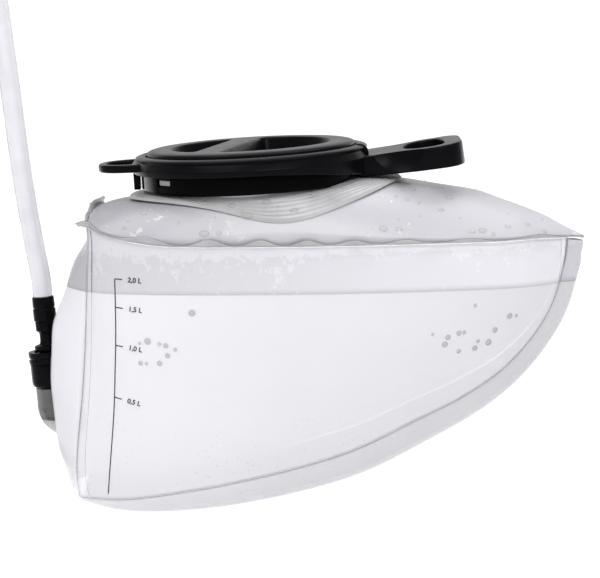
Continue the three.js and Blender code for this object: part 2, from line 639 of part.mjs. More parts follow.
// Hook-and-loop strap wrapped round both turns.
function coilTie(low, high) {
  const middle = [COIL.x, COIL.y - COIL.r, (low + high) / 2];
  const inner = box([20, 2 * HOSE_R + 1.6, high - low + 1], middle);
  const outer = box([14, 2 * HOSE_R + 3.6, high - low + 3], middle);
  return toGeometry(toSolid(outer).subtract(toSolid(inner)));
}

// ---------------------------------------------------------------- bite valve on the hose's end
const valve = new THREE.Group();
valve.position.set(COIL.x + COIL.r, COIL.y + TUBE_STOP, FLOOR + 9);
valve.rotation.set(-Math.PI / 2, 0, Math.PI);
bladder.add(valve);

function buildValve() {
  const body = turned([[2.4, 0], [6.6, 0], [6.6, 12], [6, 14], [7.6, 16], [7.6, 30], [4.6, 31.4], [4.6, 38],
    [2.4, 38]], 16);
  const seat = toSolid(new THREE.CylinderGeometry(5.3, 5.3, 40, 16).translate(0, 0, 23));
  add(valve, 'valve_body', toGeometry(toSolid(body).subtract(seat)), blackMatte);
  const rotor = toSolid(new THREE.CylinderGeometry(4.9, 4.9, 17, 16).translate(0, 0, 23));
  const knob = toSolid(new THREE.CylinderGeometry(6.4, 6.4, 3, 16).translate(0, 9.5, 23));
  const lever = toSolid(box([4, 3, 15], [0, 9.9, 28.5]));
  const way = toSolid(disc(2.6, 10, 36, 10));
  add(valve, 'shutoff_lever', toGeometry(rotor.subtract(way).add(knob).add(lever)), blackGloss);
  const bite = [[4.9, 32.2], [7.4, 32.2], [8, 33], [8, 46], [7.2, 50], [3.4, 57], [1.2, 58], [1.2, 40],
    [4.9, 38.6]];
  add(valve, 'bite_valve', turned(bite, 16), silicone);
  const cover = [[8.4, 40], [9.4, 40], [9.4, 55], [7.6, 60.4], [0, 60.4], [0, 59.2], [7, 59.2], [8.4, 54.4]];
  add(valve, 'dust_cover', turned(cover, 16), flangeGrey);
}

// ---------------------------------------------------------------- assembly
add(bladder, 'side_panel_right', sidePanel(-1), film);
add(bladder, 'side_panel_left', sidePanel(1), film);
add(bladder, 'rear_gusset', rearPanel(), film);
add(bladder, 'belly_gusset', bellyPanel(), film);
add(bladder, 'top_panel', topPanel(), film);
buildClosure();
buildOutlet();
buildSocket();
buildPlug();
buildHose();
buildValve();
bladder.position.set(-PAD.x, 0, -PAD.z);

export default bladder;
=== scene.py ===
"""Looks of a hydration bladder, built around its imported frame.

Shapes are worked out in millimetres in the bladder's own layout: X runs towards the nose, Y = 0 is
the centre plane, and Z = 0 lies just under the surface of a full load. put() turns layout
millimetres into the part's frame in metres.
"""

import math

import bmesh
import bpy
import numpy as np
from mathutils import Matrix, Vector
from mathutils.bvhtree import BVHTree


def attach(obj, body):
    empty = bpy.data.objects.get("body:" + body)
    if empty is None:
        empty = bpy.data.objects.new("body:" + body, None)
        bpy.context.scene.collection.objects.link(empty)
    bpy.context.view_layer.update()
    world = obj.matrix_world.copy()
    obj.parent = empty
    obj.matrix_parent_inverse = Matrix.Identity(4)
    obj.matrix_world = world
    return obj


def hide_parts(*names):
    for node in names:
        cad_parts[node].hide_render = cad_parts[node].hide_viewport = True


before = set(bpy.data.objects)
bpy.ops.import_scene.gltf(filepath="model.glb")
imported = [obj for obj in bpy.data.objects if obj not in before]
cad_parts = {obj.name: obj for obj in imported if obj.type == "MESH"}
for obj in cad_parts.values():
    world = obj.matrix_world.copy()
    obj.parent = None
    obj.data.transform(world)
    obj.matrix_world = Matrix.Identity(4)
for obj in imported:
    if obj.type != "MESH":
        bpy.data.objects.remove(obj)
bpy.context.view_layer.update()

# ---------------------------------------------------------------- driving dimensions (mm)
MM = 0.001
PAD = np.array([42.0, 0.0, 70.7])  # centre of the handle's flat pad: the frame's origin
PAD_SLOPE = 8.8
CLOSURE = np.array([-24.9, 0.0, 73.7])  # centre of the cap's top
CLOSURE_TILT = 3.4
PORT = np.array([-114.2, 0.0, -67.5])  # outlet through the rear film
FITTING = np.array([-126.2, 0.0, -50.0])  # foot of the connector's axis
FITTING_LEAN = 5.5
COIL = np.array([-224.0, 0.0, -109.7])  # centre of the hose coil's lower turn
COIL_R = 50.0
HOSE_R = 5.0
HOSE_BORE = 3.1
FLOOR = -116.2  # the surface that the coil lies on
WATER = 4.5  # level of the water
FILM = 0.55  # thickness of the film

# Seams of the film body (x, z) and half widths along them.
REAR_SEAM = [(-110.5, -101.5), (-111.6, -88), (-110.6, -72), (-108, -48), (-106.3, -25), (-105.5, -8),
             (-104.8, 15), (-104.2, 28), (-104.5, 38)]
BELLY_SEAM = [(-110.5, -101.5), (-97, -102.2), (-83, -101.6), (-64, -98.9), (-35, -93.7), (0, -85.4),
              (28.5, -76.3), (57, -62.8), (81.3, -51), (101.8, -37.6), (117, -22), (127, -6), (132.6, 12)]
TOP_SEAM = [(-104.5, 38), (-95.9, 34), (-76.4, 30.3), (-58, 29), (-20, 28.8), (20, 28.8), (60, 28.9),
            (100, 28.9), (120, 29), (134.7, 28)]
NOSE_SEAM = [(132.6, 12), (134, 20), (134.7, 28)]
REAR_WIDTH = [30, 36, 40, 43, 44.5, 45.5, 46.5, 47]
BELLY_WIDTH = [30, 33, 35.5, 36.5, 36, 34, 30, 25, 18, 12, 7.5]
TOP_WIDTH = [47, 53, 57, 58.5, 58, 55, 49, 40, 29, 17, 6]
NOSE_WIDTH = [7.5, 6]
GUSSET_SEAM = [*BELLY_SEAM, (134.2, 20), (134.8, 26)]
GUSSET_WIDTH = [*BELLY_WIDTH, 6.6, 5.8]
TOP_OUTLINE = [*TOP_SEAM, (139.5, 27.6), (143.6, 27)]
TOP_OUTLINE_WIDTH = [*TOP_WIDTH, 4.2, 1]
REAR_LOBES = [0, 1, 6, 13.5, 20, 22, 21, 17, 12, 7, 5]
REAR_VALLEY = [0, 1, 3, 4, 4.5, 4, 3, 2, 2.5, 4, 5]
BELLY_BULGE = [5, 9, 12, 15, 16.8, 17, 16, 14, 11.5, 9.8, 8.8, 8.4, 8.2]
DOME_CREST = [(-104.5, 40), (-96, 43.2), (-80, 46.4), (-50, 50.2), (-10, 54.6), (30, 55.4), (51, 55.5),
              (84, 51), (101, 45.9), (121.4, 38.3), (131.6, 33), (138, 30), (143.6, 27.6)]
SIDE_BULGE = 8
FLANGE_X, FLANGE_HALF, FLANGE_SIDE = -17.5, 68.8, 54.0
NECK_R = 47.0
FLANGE_R = NECK_R + 1  # the flange's inner edge
RING_R = 59.6
RING_LOW, RING_TOP = -10.9, -4.4  # the handle ring's foot, and the seat of the cap in it
COLLAR_FOOT = -20.5
LUG_Z = -14.1
POCKET_R, POCKET_DEPTH, GRIP_HALF, GRIP_SHIFT = 40.0, 9.0, 7.5, 13.0
GRIP_TURN = math.radians(15)


def put(points):
    """Layout millimetres to the part's frame in metres."""
    return (np.asarray(points, float) - PAD) * MM


def placed(origin, turn=0.0):
    """Matrix of a group that stands at origin and leans about Y, in layout millimetres."""
    return Matrix.Translation(Vector(origin)) @ Matrix.Rotation(-math.radians(turn), 4, "Y")


CLOSURE_M = placed(CLOSURE, CLOSURE_TILT)
PAD_M = placed(PAD, PAD_SLOPE)
FITTING_M = placed(FITTING, FITTING_LEAN)
VALVE_M = (Matrix.Translation(Vector((COIL[0] + COIL_R, 33.5, FLOOR + 9)))
           @ Matrix.Rotation(-math.pi / 2, 4, "X") @ Matrix.Rotation(math.pi, 4, "Z"))


# ---------------------------------------------------------------- curves
class Spline:
    """Catmull-Rom curve through its points, t from 0 to 1."""

    def __init__(self, points):
        self.points = np.array(points, float)

    def __call__(self, t):
        points, last = self.points, len(self.points) - 1
        place = np.clip(np.asarray(t, float), 0, 1) * last
        i = np.minimum(place.astype(int), last)
        w = (place - i)[..., None]
        p0, p1 = points[np.maximum(i - 1, 0)], points[i]
        p2, p3 = points[np.minimum(i + 1, last)], points[np.minimum(i + 2, last)]
        v0, v1 = (p2 - p0) / 2, (p3 - p1) / 2
        return (2 * p1 - 2 * p2 + v0 + v1) * w**3 + (3 * p2 - 3 * p1 - 2 * v0 - v1) * w**2 + v0 * w + p1

    def tangent(self, t):
        step = 1e-4
        along = self(np.clip(t + step, 0, 1)) - self(np.clip(t - step, 0, 1))
        return along / np.linalg.norm(along, axis=-1, keepdims=True)


def profile(values):
    """A value read along evenly spaced stations, t from 0 to 1."""
    curve = Spline(np.array(values, float)[:, None])
    return lambda t: curve(t)[..., 0]


def smooth(low, high, value):
    t = np.clip((value - low) / (high - low), 0, 1)
    return t * t * (3 - 2 * t)


def at_x(curve, x):
    """Parameter and height of a curve that runs steadily along x."""
    t = np.linspace(0, 1, 1500)
    points = curve(t)
    return np.interp(x, points[:, 0], t), np.interp(x, points[:, 0], points[:, 1])


rear_seam, belly_seam = Spline(REAR_SEAM), Spline(BELLY_SEAM)
top_seam, nose_seam = Spline(TOP_SEAM), Spline(NOSE_SEAM)
top_outline, dome_crest = Spline(TOP_OUTLINE), Spline(DOME_CREST)
top_outline_width = profile(TOP_OUTLINE_WIDTH)


def edge_point(curve, width, t):
    xz = curve(t)
    return np.stack([xz[..., 0], width(t), xz[..., 1]], -1)


def side_point(u, v):
    """Side panel: a patch stretched between its four seams and pushed out by the water."""
    belly, top = profile(BELLY_WIDTH), profile(TOP_WIDTH)
    rear, nose = profile(REAR_WIDTH), profile(NOSE_WIDTH)
    low, high = edge_point(belly_seam, belly, u), edge_point(top_seam, top, u)
    back, front = edge_point(rear_seam, rear, v), edge_point(nose_seam, nose, v)
    u, v = u[..., None], v[..., None]
    corner = [edge_point(belly_seam, belly, np.array(e)) for e in (0.0, 1.0)]
    corner += [edge_point(top_seam, top, np.array(e)) for e in (0.0, 1.0)]
    point = (1 - v) * low + v * high + (1 - u) * back + u * front
    point = point - (1 - u) * (1 - v) * corner[0] - u * (1 - v) * corner[1]
    point = point - (1 - u) * v * corner[2] - u * v * corner[3]
    point[..., 1:2] += SIDE_BULGE * np.sin(np.pi * np.minimum(1.1 * v, 1)) * np.sin(np.pi * u) ** 0.7
    return point


def gusset_point(curve, width, lobes, valley, t, s, lift):
    """Gusset: from the side outline outwards, s from -1 to 1 across the body."""
    xz, along = curve(t), curve.tangent(t)
    arch = 1 - np.abs(s) ** 2.6
    away = smooth(0.3, 0.52, np.abs(s))
    out = lift + arch * (valley(t) + (lobes(t) - valley(t)) * away)
    return np.stack([xz[..., 0] + along[..., 1] * out, s * width(t), xz[..., 1] - along[..., 0] * out], -1)


def dome_height(x, y):
    """Height of the top panel at plan position (x, y)."""
    t, edge = at_x(top_outline, x)
    crest = at_x(dome_crest, x)[1]
    across = np.minimum(np.abs(y) / top_outline_width(t), 1)
    fullness = 2.4 + 6.6 * np.exp(-(((x - FLANGE_X) / 52) ** 2))
    return edge + (crest - edge) * (1 - across**fullness)


def flange_point(u, v, thick=0.0):
    """Neck flange: level with the collar's foot at the neck, on the film at its oval rim."""
    a = 2 * np.pi * v
    x = (1 - u) * (CLOSURE[0] + 1 + FLANGE_R * np.cos(a)) + u * (FLANGE_X + FLANGE_HALF * np.cos(a))
    y = ((1 - u) * FLANGE_R + u * FLANGE_SIDE) * np.sin(a)
    foot = CLOSURE[2] + COLLAR_FOOT - 1.5 + (x - CLOSURE[0]) * math.tan(math.radians(CLOSURE_TILT))
    on_film = dome_height(x, y) + 1.6
    blend = smooth(0, 0.9, u)
    return np.stack([x, y, np.maximum(on_film, (1 - blend) * foot + blend * on_film) + thick], -1)


# ---------------------------------------------------------------- materials
class Look:
    """A procedural material around one Principled shader; patterns read the piece's own metres."""

    def __init__(self, name, color, roughness, metallic=0.0, **sockets):
        self.mat = bpy.data.materials.new(name)
        self.mat.use_nodes = True
        self.tree = self.mat.node_tree
        self.shader = self.tree.nodes["Principled BSDF"]
        self.shader.inputs["Base Color"].default_value = (*color, 1)
        self.shader.inputs["Roughness"].default_value = roughness
        self.shader.inputs["Metallic"].default_value = metallic
        for socket, value in sockets.items():
            self.shader.inputs[socket.replace("_", " ")].default_value = value
        self.places = self.tree.nodes.new("ShaderNodeTexCoord").outputs

    def link(self, source, target):
        self.tree.links.new(source, target)

    def noise(self, scale, detail, rough=0.55):
        node = self.tree.nodes.new("ShaderNodeTexNoise")
        node.inputs["Scale"].default_value = scale
        node.inputs["Detail"].default_value = detail
        node.inputs["Roughness"].default_value = rough
        self.link(self.places["Object"], node.inputs["Vector"])
        return node.outputs["Fac"]

    def cells(self, scale, low, high):
        """Round spots at random places: 1 up to a distance of low, 0 from high."""
        node = self.tree.nodes.new("ShaderNodeTexVoronoi")
        node.inputs["Scale"].default_value = scale
        self.link(self.places["Object"], node.inputs["Vector"])
        return self.spread(node.outputs["Distance"], low, high, 1, 0)

    def axis(self, name, kind="Object"):
        """One coordinate of the place on the piece, or of its normal."""
        split = self.tree.nodes.new("ShaderNodeSeparateXYZ")
        self.link(self.places[kind], split.inputs[0])
        return split.outputs[name]

    def between(self, axis, low, high, to_low=0.0, to_high=1.0):
        """Runs from to_low to to_high between two places of the layout, in millimetres along X or Z."""
        origin = PAD["XYZ".index(axis)]
        return self.spread(self.axis(axis), (low - origin) * MM, (high - origin) * MM, to_low, to_high)

    def mottle(self, scale, detail, dark, light):
        """Two colours, mixed in soft patches."""
        return self.ramp(self.noise(scale, detail), (0.3, dark), (0.7, light))

    def waver(self, scale, detail, low, high):
        """A value that drifts from low to high and back."""
        return self.spread(self.noise(scale, detail), 0.3, 0.7, low, high)

    def facing(self, blend=0.5):
        node = self.tree.nodes.new("ShaderNodeLayerWeight")
        node.inputs["Blend"].default_value = blend
        return node.outputs["Facing"]

    def math(self, kind, a, b, clamp=False):
        node = self.tree.nodes.new("ShaderNodeMath")
        node.operation = kind
        node.use_clamp = clamp
        for socket, value in zip(node.inputs, (a, b)):
            if isinstance(value, (int, float)):
                socket.default_value = value
            else:
                self.link(value, socket)
        return node.outputs[0]

    def times(self, a, b):
        return self.math("MULTIPLY", a, b)

    def plus(self, a, b, clamp=False):
        return self.math("ADD", a, b, clamp)

    def spread(self, value, low, high, to_low=0.0, to_high=1.0):
        node = self.tree.nodes.new("ShaderNodeMapRange")
        for socket, number in zip(list(node.inputs)[1:5], (low, high, to_low, to_high)):
            socket.default_value = number
        self.link(value, node.inputs[0])
        return node.outputs[0]

    def ramp(self, value, *stops):
        """Colours at places from 0 to 1."""
        node = self.tree.nodes.new("ShaderNodeValToRGB")
        ramp = node.color_ramp
        while len(ramp.elements) < len(stops):
            ramp.elements.new(0.5)
        for element, (at, color) in zip(ramp.elements, stops):
            element.position = at
            element.color = (*color, 1) if isinstance(color, tuple) else (color, color, color, 1)
        self.link(value, node.inputs[0])
        return node.outputs[0]

    def mix(self, share, a, b):
        node = self.tree.nodes.new("ShaderNodeMix")
        node.data_type = "RGBA"
        for socket, value in ((node.inputs["Factor"], share), (node.inputs[6], a), (node.inputs[7], b)):
            self.link(value, socket)
        return node.outputs[2]

    def bump(self, value, strength, distance):
        node = self.tree.nodes.new("ShaderNodeBump")
        node.inputs["Strength"].default_value = strength
        node.inputs["Distance"].default_value = distance * MM
        self.link(value, node.inputs["Height"])
        self.link(node.outputs[0], self.shader.inputs["Normal"])
        return self

    def set(self, socket, value):
        self.link(value, self.shader.inputs[socket])
        return self


def grained(name, dark, light, roughness, grain=900, depth=0.05, sheen=None, **sockets):
    """Moulded plastic or rubber: fine grain, faint mottling, and a gloss that grows at a glancing angle."""
    look = Look(name, light, roughness, **sockets)
    look.set("Base Color", look.mottle(60, 4, dark, light))
    look.set("Roughness", look.waver(150, 3, roughness * 0.85, roughness * 1.15))
    if sheen:
        look.set("Specular IOR Level", look.spread(look.facing(), 0.55, 0.9, *sheen))
    return look.bump(look.noise(grain, 2), 0.35, depth).mat


def tinted(color, share):
    """A colour made darker or lighter, but never as light as pure white."""
    return tuple(min(share * c, 0.95) for c in color)


def film_look(name, wet, dry, wet_alpha, dry_alpha, fog=1.12, clearing=1.0, dim=0.95):
    """Film with water behind it below the level, condensation on its inside above, and a band of painted
    shade just above the level.

    Towards the nose the mist thins out, by clearing, and the colour below the level is darkened by dim,
    which is painted shade; fog is how much lighter the clear patches are.
    """
    look = Look(name, wet, 0.22, IOR=1.45)
    above = look.between("Z", WATER - 0.2, WATER + 0.4)
    near = look.between("Z", WATER, WATER + 3.2)
    along = look.between("X", -90, 110)
    light = tinted(dry, clearing)
    mist = look.ramp(along, (0.0, dry), (1.0, light))
    # Painted shade: a darker band in the film's colour just above the water's level, standing in for the
    # shadow along the waterline.
    line = look.ramp(near, (0.0, tinted(dry, 0.66)), (0.3, tinted(dry, 0.88)), (1.0, dry))
    ragged = look.between("Z", WATER + 15, WATER + 24, 0, 0.19)
    patches = look.times(look.noise(260, 9, 0.72), look.noise(42, 3))
    patches = look.spread(look.plus(patches, ragged), 0.32, 0.36)
    clean = look.ramp(along, (0.0, tinted(dry, fog)), (1.0, tinted(light, 1.04)))
    fogged = look.mix(look.times(patches, near), look.mix(near, line, mist), clean)
    beads = look.spread(look.times(look.cells(700, 0.08, 0.16), look.noise(90, 2)), 0.5, 0.62, 0, 0.6)
    fogged = look.mix(beads, fogged, look.ramp(near, (0.0, 0.8), (1.0, 0.86)))
    blots = look.spread(look.times(look.cells(330, 0.16, 0.26), look.noise(60, 2)), 0.46, 0.56)
    blots = look.times(blots, look.between("Z", -40, -85, 0, 0.3))
    # Painted shade: below the level the film's colour darkens towards the nose, by dim, with a soft wobble.
    shaded_wet = look.plus(along, look.waver(14, 2, -0.1, 0.1))
    shaded_wet = look.ramp(shaded_wet, (0.0, wet), (1.0, tinted(wet, dim)))
    look.set("Base Color", look.mix(above, look.mix(blots, shaded_wet, look.mottle(80, 1, 0.3, 0.36)), fogged))
    dry_share = look.spread(patches, 0, 1, dry_alpha - wet_alpha, dry_alpha + 0.06 - wet_alpha)
    look.set("Alpha", look.plus(look.times(above, dry_share), wet_alpha))
    drops = look.times(look.cells(420, 0.0, 0.5), above)
    return look.bump(look.plus(look.noise(300, 3), drops), 0.2, 0.16).mat


def dome_look():
    """Top film: a fine mist of condensation with a few clear runs; its tone along the length, darkest at the
    rear end, is painted shade.
    """
    look = Look("film_top_look", (0.6, 0.6, 0.63), 0.34, IOR=1.45)
    runs = look.spread(look.times(look.noise(150, 7, 0.66), look.noise(34, 2)), 0.36, 0.4)
    # Painted shade: the mist's and the runs' tones change along the length, darkest at the rear end.
    along = look.between("X", -100, 130)
    mist = look.ramp(along, (0.0, (0.33, 0.325, 0.355)), (0.3, (0.55, 0.545, 0.58)),
                     (0.6, (0.49, 0.485, 0.52)), (1.0, (0.53, 0.525, 0.56)))
    look.set("Base Color", look.mix(runs, mist, look.ramp(along, (0.0, 0.52), (1.0, 0.66))))
    look.set("Alpha", look.spread(runs, 0, 1, 0.76, 0.9))
    return look.bump(look.plus(look.cells(520, 0.0, 0.5), runs), 0.25, 0.16).mat


def weld_look(name, plain, dark, alpha):
    """A weld: faint, and darker down the rear above the water."""
    look = Look(name, plain, 0.3)
    share = look.times(look.between("Z", WATER - 1, WATER + 1), look.between("X", -96, -80, 1, 0))
    look.set("Base Color", look.ramp(share, (0.0, plain), (1.0, dark)))
    base = look.spread(look.noise(160, 3), 0.35, 0.65, 0.6 * alpha, alpha)
    look.set("Alpha", look.plus(base, look.times(share, 0.9 - alpha), True))
    return look.bump(look.noise(500, 2), 0.2, 0.05).mat


def lip_look():
    """The top panel's doubled film, grey where it stands up."""
    look = Look("lip_look", (0.4, 0.395, 0.42), 0.3)
    look.set("Base Color", look.mottle(90, 3, (0.33, 0.33, 0.345), (0.4, 0.4, 0.415)))
    look.set("Alpha", look.waver(140, 3, 0.75, 0.9))
    return look.bump(look.noise(300, 2), 0.3, 0.1).mat


def clear_look(name, color, alpha_thin, alpha_edge, roughness):
    """Clear moulded plastic or a drop of water, denser towards its outline."""
    look = Look(name, color, roughness, IOR=1.4)
    look.set("Alpha", look.spread(look.facing(0.42), 0.1, 0.95, alpha_thin, alpha_edge))
    look.set("Roughness", look.waver(90, 2, roughness, roughness * 2))
    return look.bump(look.noise(400, 2), 0.1, 0.05).mat


def elbow_look():
    """Grey moulding, darker where the socket's foot stands in it, and pale with water at its bend."""
    look = Look("elbow_look", (0.4, 0.4, 0.42), 0.15)
    up = look.between("Z", -69, -59)
    look.set("Base Color", look.ramp(up, (0.0, 0.5), (0.22, 0.46), (0.28, 0.05), (0.4, 0.05),
                                     (0.5, 0.095), (1.0, 0.1)))
    look.set("Alpha", look.waver(200, 2, 0.76, 0.84))
    return look.bump(look.noise(300, 2), 0.2, 0.05).mat


def hose_look():
    """Clear hose full of water, with a broken dark line down its rear side: painted shade standing in for
    the dark surroundings that the hose refracts.
    """
    look = Look("hose_look", (0.84, 0.83, 0.88), 0.12)
    # Painted shade: a dark, broken stripe where the hose's surface faces -X, in place of refracted dark
    # surroundings.
    line = look.spread(look.axis("X", "Normal"), -0.94, -0.85, 1, 0)
    line = look.times(line, look.spread(look.noise(120, 3), 0.42, 0.55, 0.25, 1))
    clear = look.mottle(70, 3, (0.72, 0.71, 0.76), (0.78, 0.775, 0.81))
    look.set("Base Color", look.mix(line, clear, look.ramp(line, (0.0, 0.1), (1.0, 0.08))))
    look.set("Alpha", look.plus(look.waver(40, 2, 0.6, 0.72), look.times(line, 0.28)))
    return look.bump(look.noise(400, 2), 0.15, 0.05).mat


def steel_look():
    look = Look("spring_steel", (0.62, 0.62, 0.64), 0.25, 1.0)
    look.set("Roughness", look.waver(700, 2, 0.18, 0.34))
    return look.bump(look.noise(900, 2), 0.2, 0.03).mat


# ---------------------------------------------------------------- mesh tools
def to_object(name, bm, matrix=None, angle=32):
    """Makes an object of a mesh in layout millimetres, moved by matrix first."""
    bmesh.ops.remove_doubles(bm, verts=bm.verts, dist=1e-4)
    bmesh.ops.dissolve_degenerate(bm, edges=bm.edges, dist=1e-5)
    bmesh.ops.recalc_face_normals(bm, faces=bm.faces)
    if matrix is not None:
        bm.transform(matrix)
    bm.transform(Matrix.Scale(MM, 4) @ Matrix.Translation(Vector(-PAD)))
    mesh = bpy.data.meshes.new(name)
    bm.to_mesh(mesh)
    bm.free()
    mesh.shade_smooth()
    mesh.set_sharp_from_angle(angle=math.radians(angle))
    piece = bpy.data.objects.new(name, mesh)
    bpy.context.scene.collection.objects.link(piece)
    return piece


def add_grid(bm, points, wrap=False):
    """Adds a sheet of quads over a (rows, columns, 3) grid, closed across the rows if wrapped."""
    rows, columns = points.shape[:2]
    verts = [[bm.verts.new(p) for p in row] for row in points]
    for i in range(rows if wrap else rows - 1):
        for j in range(columns - 1):
            a, b = verts[i], verts[(i + 1) % rows]
            bm.faces.new((a[j], b[j], b[j + 1], a[j + 1]))
    return verts


def unit_grid(nu, nv, low=0.0, high=1.0):
    return np.meshgrid(np.linspace(low, high, nu + 1), np.linspace(0, 1, nv + 1), indexing="ij")


def thicken(piece, thickness, offset=-1.0):
    mod = piece.modifiers.new("wall", "SOLIDIFY")
    mod.thickness = thickness * MM
    mod.offset = offset
    return freeze(piece)


def freeze(piece):
    """Applies every modifier to the piece's mesh."""
    graph = bpy.context.evaluated_depsgraph_get()
    mesh = bpy.data.meshes.new_from_object(piece.evaluated_get(graph))
    piece.modifiers.clear()
    piece.data = mesh
    return piece


def boolean(piece, tool, operation="DIFFERENCE"):
    mod = piece.modifiers.new("cut", "BOOLEAN")
    mod.object = tool
    mod.operation = operation
    mod.solver = "MANIFOLD"
    freeze(piece)
    bpy.data.objects.remove(tool)
    piece.data.shade_smooth()
    piece.data.set_sharp_from_angle(angle=math.radians(32))
    return piece


def rounded(outline, radius, steps=3):
    """A closed outline with its corners rounded off, apart from those on the axis."""
    points = np.array(outline, float)
    made = []
    for i, corner in enumerate(points):
        before, after = points[i - 1] - corner, points[(i + 1) % len(points)] - corner
        lengths = np.linalg.norm(before), np.linalg.norm(after)
        cut = min(radius, 0.45 * lengths[0], 0.45 * lengths[1])
        if abs(corner[0]) < 1e-6:
            made.append(corner)
            continue
        a, b = corner + before / lengths[0] * cut, corner + after / lengths[1] * cut
        for t in np.linspace(0, 1, steps + 1):
            made.append((1 - t) ** 2 * a + 2 * t * (1 - t) * corner + t * t * b)
    return made


def add_lathe(bm, outline, segments=96, closed=True):
    """Adds a solid of revolution about Z from a (radius, z) outline."""
    points = np.array([*outline, outline[0]] if closed else outline, float)
    angles = np.linspace(0, 2 * np.pi, segments, endpoint=False)
    grid = np.stack([np.outer(np.cos(angles), points[:, 0]), np.outer(np.sin(angles), points[:, 0]),
                     np.tile(points[:, 1], (segments, 1))], -1)
    return add_grid(bm, grid, wrap=True)


def lathe(name, outline, matrix, radius=0.4, segments=96):
    bm = bmesh.new()
    add_lathe(bm, rounded(outline, radius), segments)
    return to_object(name, bm, matrix)


def bezier(points, steps=14):
    """Points along a chain of cubic curves: start, then (handle, handle, end) triples."""
    made = [np.array(points[0], float)]
    for i in range(1, len(points), 3):
        a, b, c, d = made[-1], *(np.array(p, float) for p in points[i:i + 3])
        for t in np.linspace(0, 1, steps + 1)[1:]:
            made.append((1 - t)**3 * a + 3 * t * (1 - t)**2 * b + 3 * t * t * (1 - t) * c + t**3 * d)
    return np.array(made)


def even(outline, spacing, passes=0):
    """A closed outline with evenly spaced points, its corners eased by repeated averaging."""
    closed = np.vstack([outline, outline[:1]])
    run = np.concatenate([[0], np.cumsum(np.linalg.norm(np.diff(closed, axis=0), axis=1))])
    at = np.linspace(0, run[-1], max(8, round(run[-1] / spacing)), endpoint=False)
    made = np.stack([np.interp(at, run, closed[:, k]) for k in range(2)], -1)
    for _ in range(passes):
        made = 0.5 * made + 0.25 * (np.roll(made, 1, 0) + np.roll(made, -1, 0))
    area = np.sum(made[:, 0] * np.roll(made[:, 1], -1) - made[:, 1] * np.roll(made[:, 0], -1))
    return made if area > 0 else made[::-1]


def grown(outline, distance):
    """The outline moved outwards along its own normals."""
    along = np.roll(outline, -1, 0) - np.roll(outline, 1, 0)
    along /= np.linalg.norm(along, axis=1, keepdims=True)
    return outline + distance * np.stack([along[:, 1], -along[:, 0]], -1)


def add_wall(bm, outline, layers, height=None):
    """Stacks copies of an outline: (growth, z) for each. Returns the loops of vertices."""
    height = height or (lambda x, z: z)
    loops = []
    for growth, z in layers:
        loops.append([bm.verts.new((x, y, height(x, z))) for x, y in grown(outline, growth)])
    for a, b in zip(loops, loops[1:]):
        for i in range(len(a)):
            j = (i + 1) % len(a)
            bm.faces.new((a[i], a[j], b[j], b[i]))
    return loops


def fill(bm, *loops):
    """Fills the flat area between the first loop and any others inside it."""
    edges = []
    for loop in loops:
        for i, vert in enumerate(loop):
            pair = (vert, loop[(i + 1) % len(loop)])
            edges.append(bm.edges.get(pair) or bm.edges.new(pair))
    bmesh.ops.triangle_fill(bm, use_beauty=True, edges=edges)


def round_over(radius, steps=4):
    """(inset, drop) pairs of a rounded edge, from the side to the top."""
    for a in np.linspace(0, np.pi / 2, steps + 1):
        yield -radius * (1 - math.cos(a)), -radius * (1 - math.sin(a))


def add_slab(bm, outline, hole, low, high, radius, height=None):
    """A flat plate, with a hole if one is given, and all its edges rounded."""
    upper = [(inset, high + drop) for inset, drop in round_over(radius)]
    lower = [(inset, low - drop) for inset, drop in round_over(radius)][::-1]
    outer = add_wall(bm, outline, lower + upper, height)
    ends = [[outer[0]], [outer[-1]]]
    if hole is not None:
        inner = add_wall(bm, hole, [(-inset, z) for inset, z in lower + upper], height)
        ends = [[outer[0], inner[0]], [outer[-1], inner[-1]]]
    for loops in ends:
        fill(bm, *loops)


def tube(name, path, radius, sides, bore=None, matrix=None):
    """A tube along a path with square ends, hollow if it has a bore."""
    bm = bmesh.new()
    path = np.array(path, float)
    along = np.gradient(path, axis=0)
    along /= np.linalg.norm(along, axis=1, keepdims=True)
    side = np.cross(along[0], (0.0, 0.3, 1.0))
    frames = []
    for direction in along:
        side = side - direction * np.dot(side, direction)
        side /= np.linalg.norm(side)
        frames.append((side, np.cross(direction, side)))
    angles = np.linspace(0, 2 * np.pi, sides, endpoint=False)

    def skin(r):
        return np.array([[p + r * (math.cos(a) * f[0] + math.sin(a) * f[1])
                          for p, f in zip(path, frames)] for a in angles])

    outer = add_grid(bm, skin(radius), wrap=True)
    inner = add_grid(bm, skin(bore)[:, ::-1], wrap=True) if bore is not None else None
    for end in (0, -1):
        ring = [column[end] for column in outer]
        if inner is None:
            bm.faces.new(ring if end else ring[::-1])
            continue
        other = [column[-1 if end == 0 else 0] for column in inner]
        for i in range(sides):
            j = (i + 1) % sides
            bm.faces.new((ring[i], ring[j], other[j], other[i]))
    return to_object(name, bm, matrix)


def surface_of(piece):
    """Search tree over a piece's faces, in the part's frame."""
    graph = bpy.context.evaluated_depsgraph_get()
    return BVHTree.FromObject(piece.evaluated_get(graph), graph)


def settle(piece, body, slot, look, *stands_for):
    """Gives a piece its look and makes it ride on a body; slot is not used."""
    piece.data.materials.clear()
    piece.data.materials.append(look)
    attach(piece, body)
    if stands_for:
        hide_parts(*stands_for)
    return piece


# ---------------------------------------------------------------- film body
SIDE_STEPS = (110, 44)
GUSSET_ACROSS = 36


def ripple(x, z, size):
    """Soft creases of filled film, in millimetres."""
    creases = np.sin(x / 7.3 + 0.9 * np.sin(z / 11)) * np.sin(z / 9.1 + 0.7 * np.sin(x / 13))
    return size * (creases + 0.6 * np.sin((x + 0.8 * z) / 4.7 + 1.3 * np.sin(z / 6)))


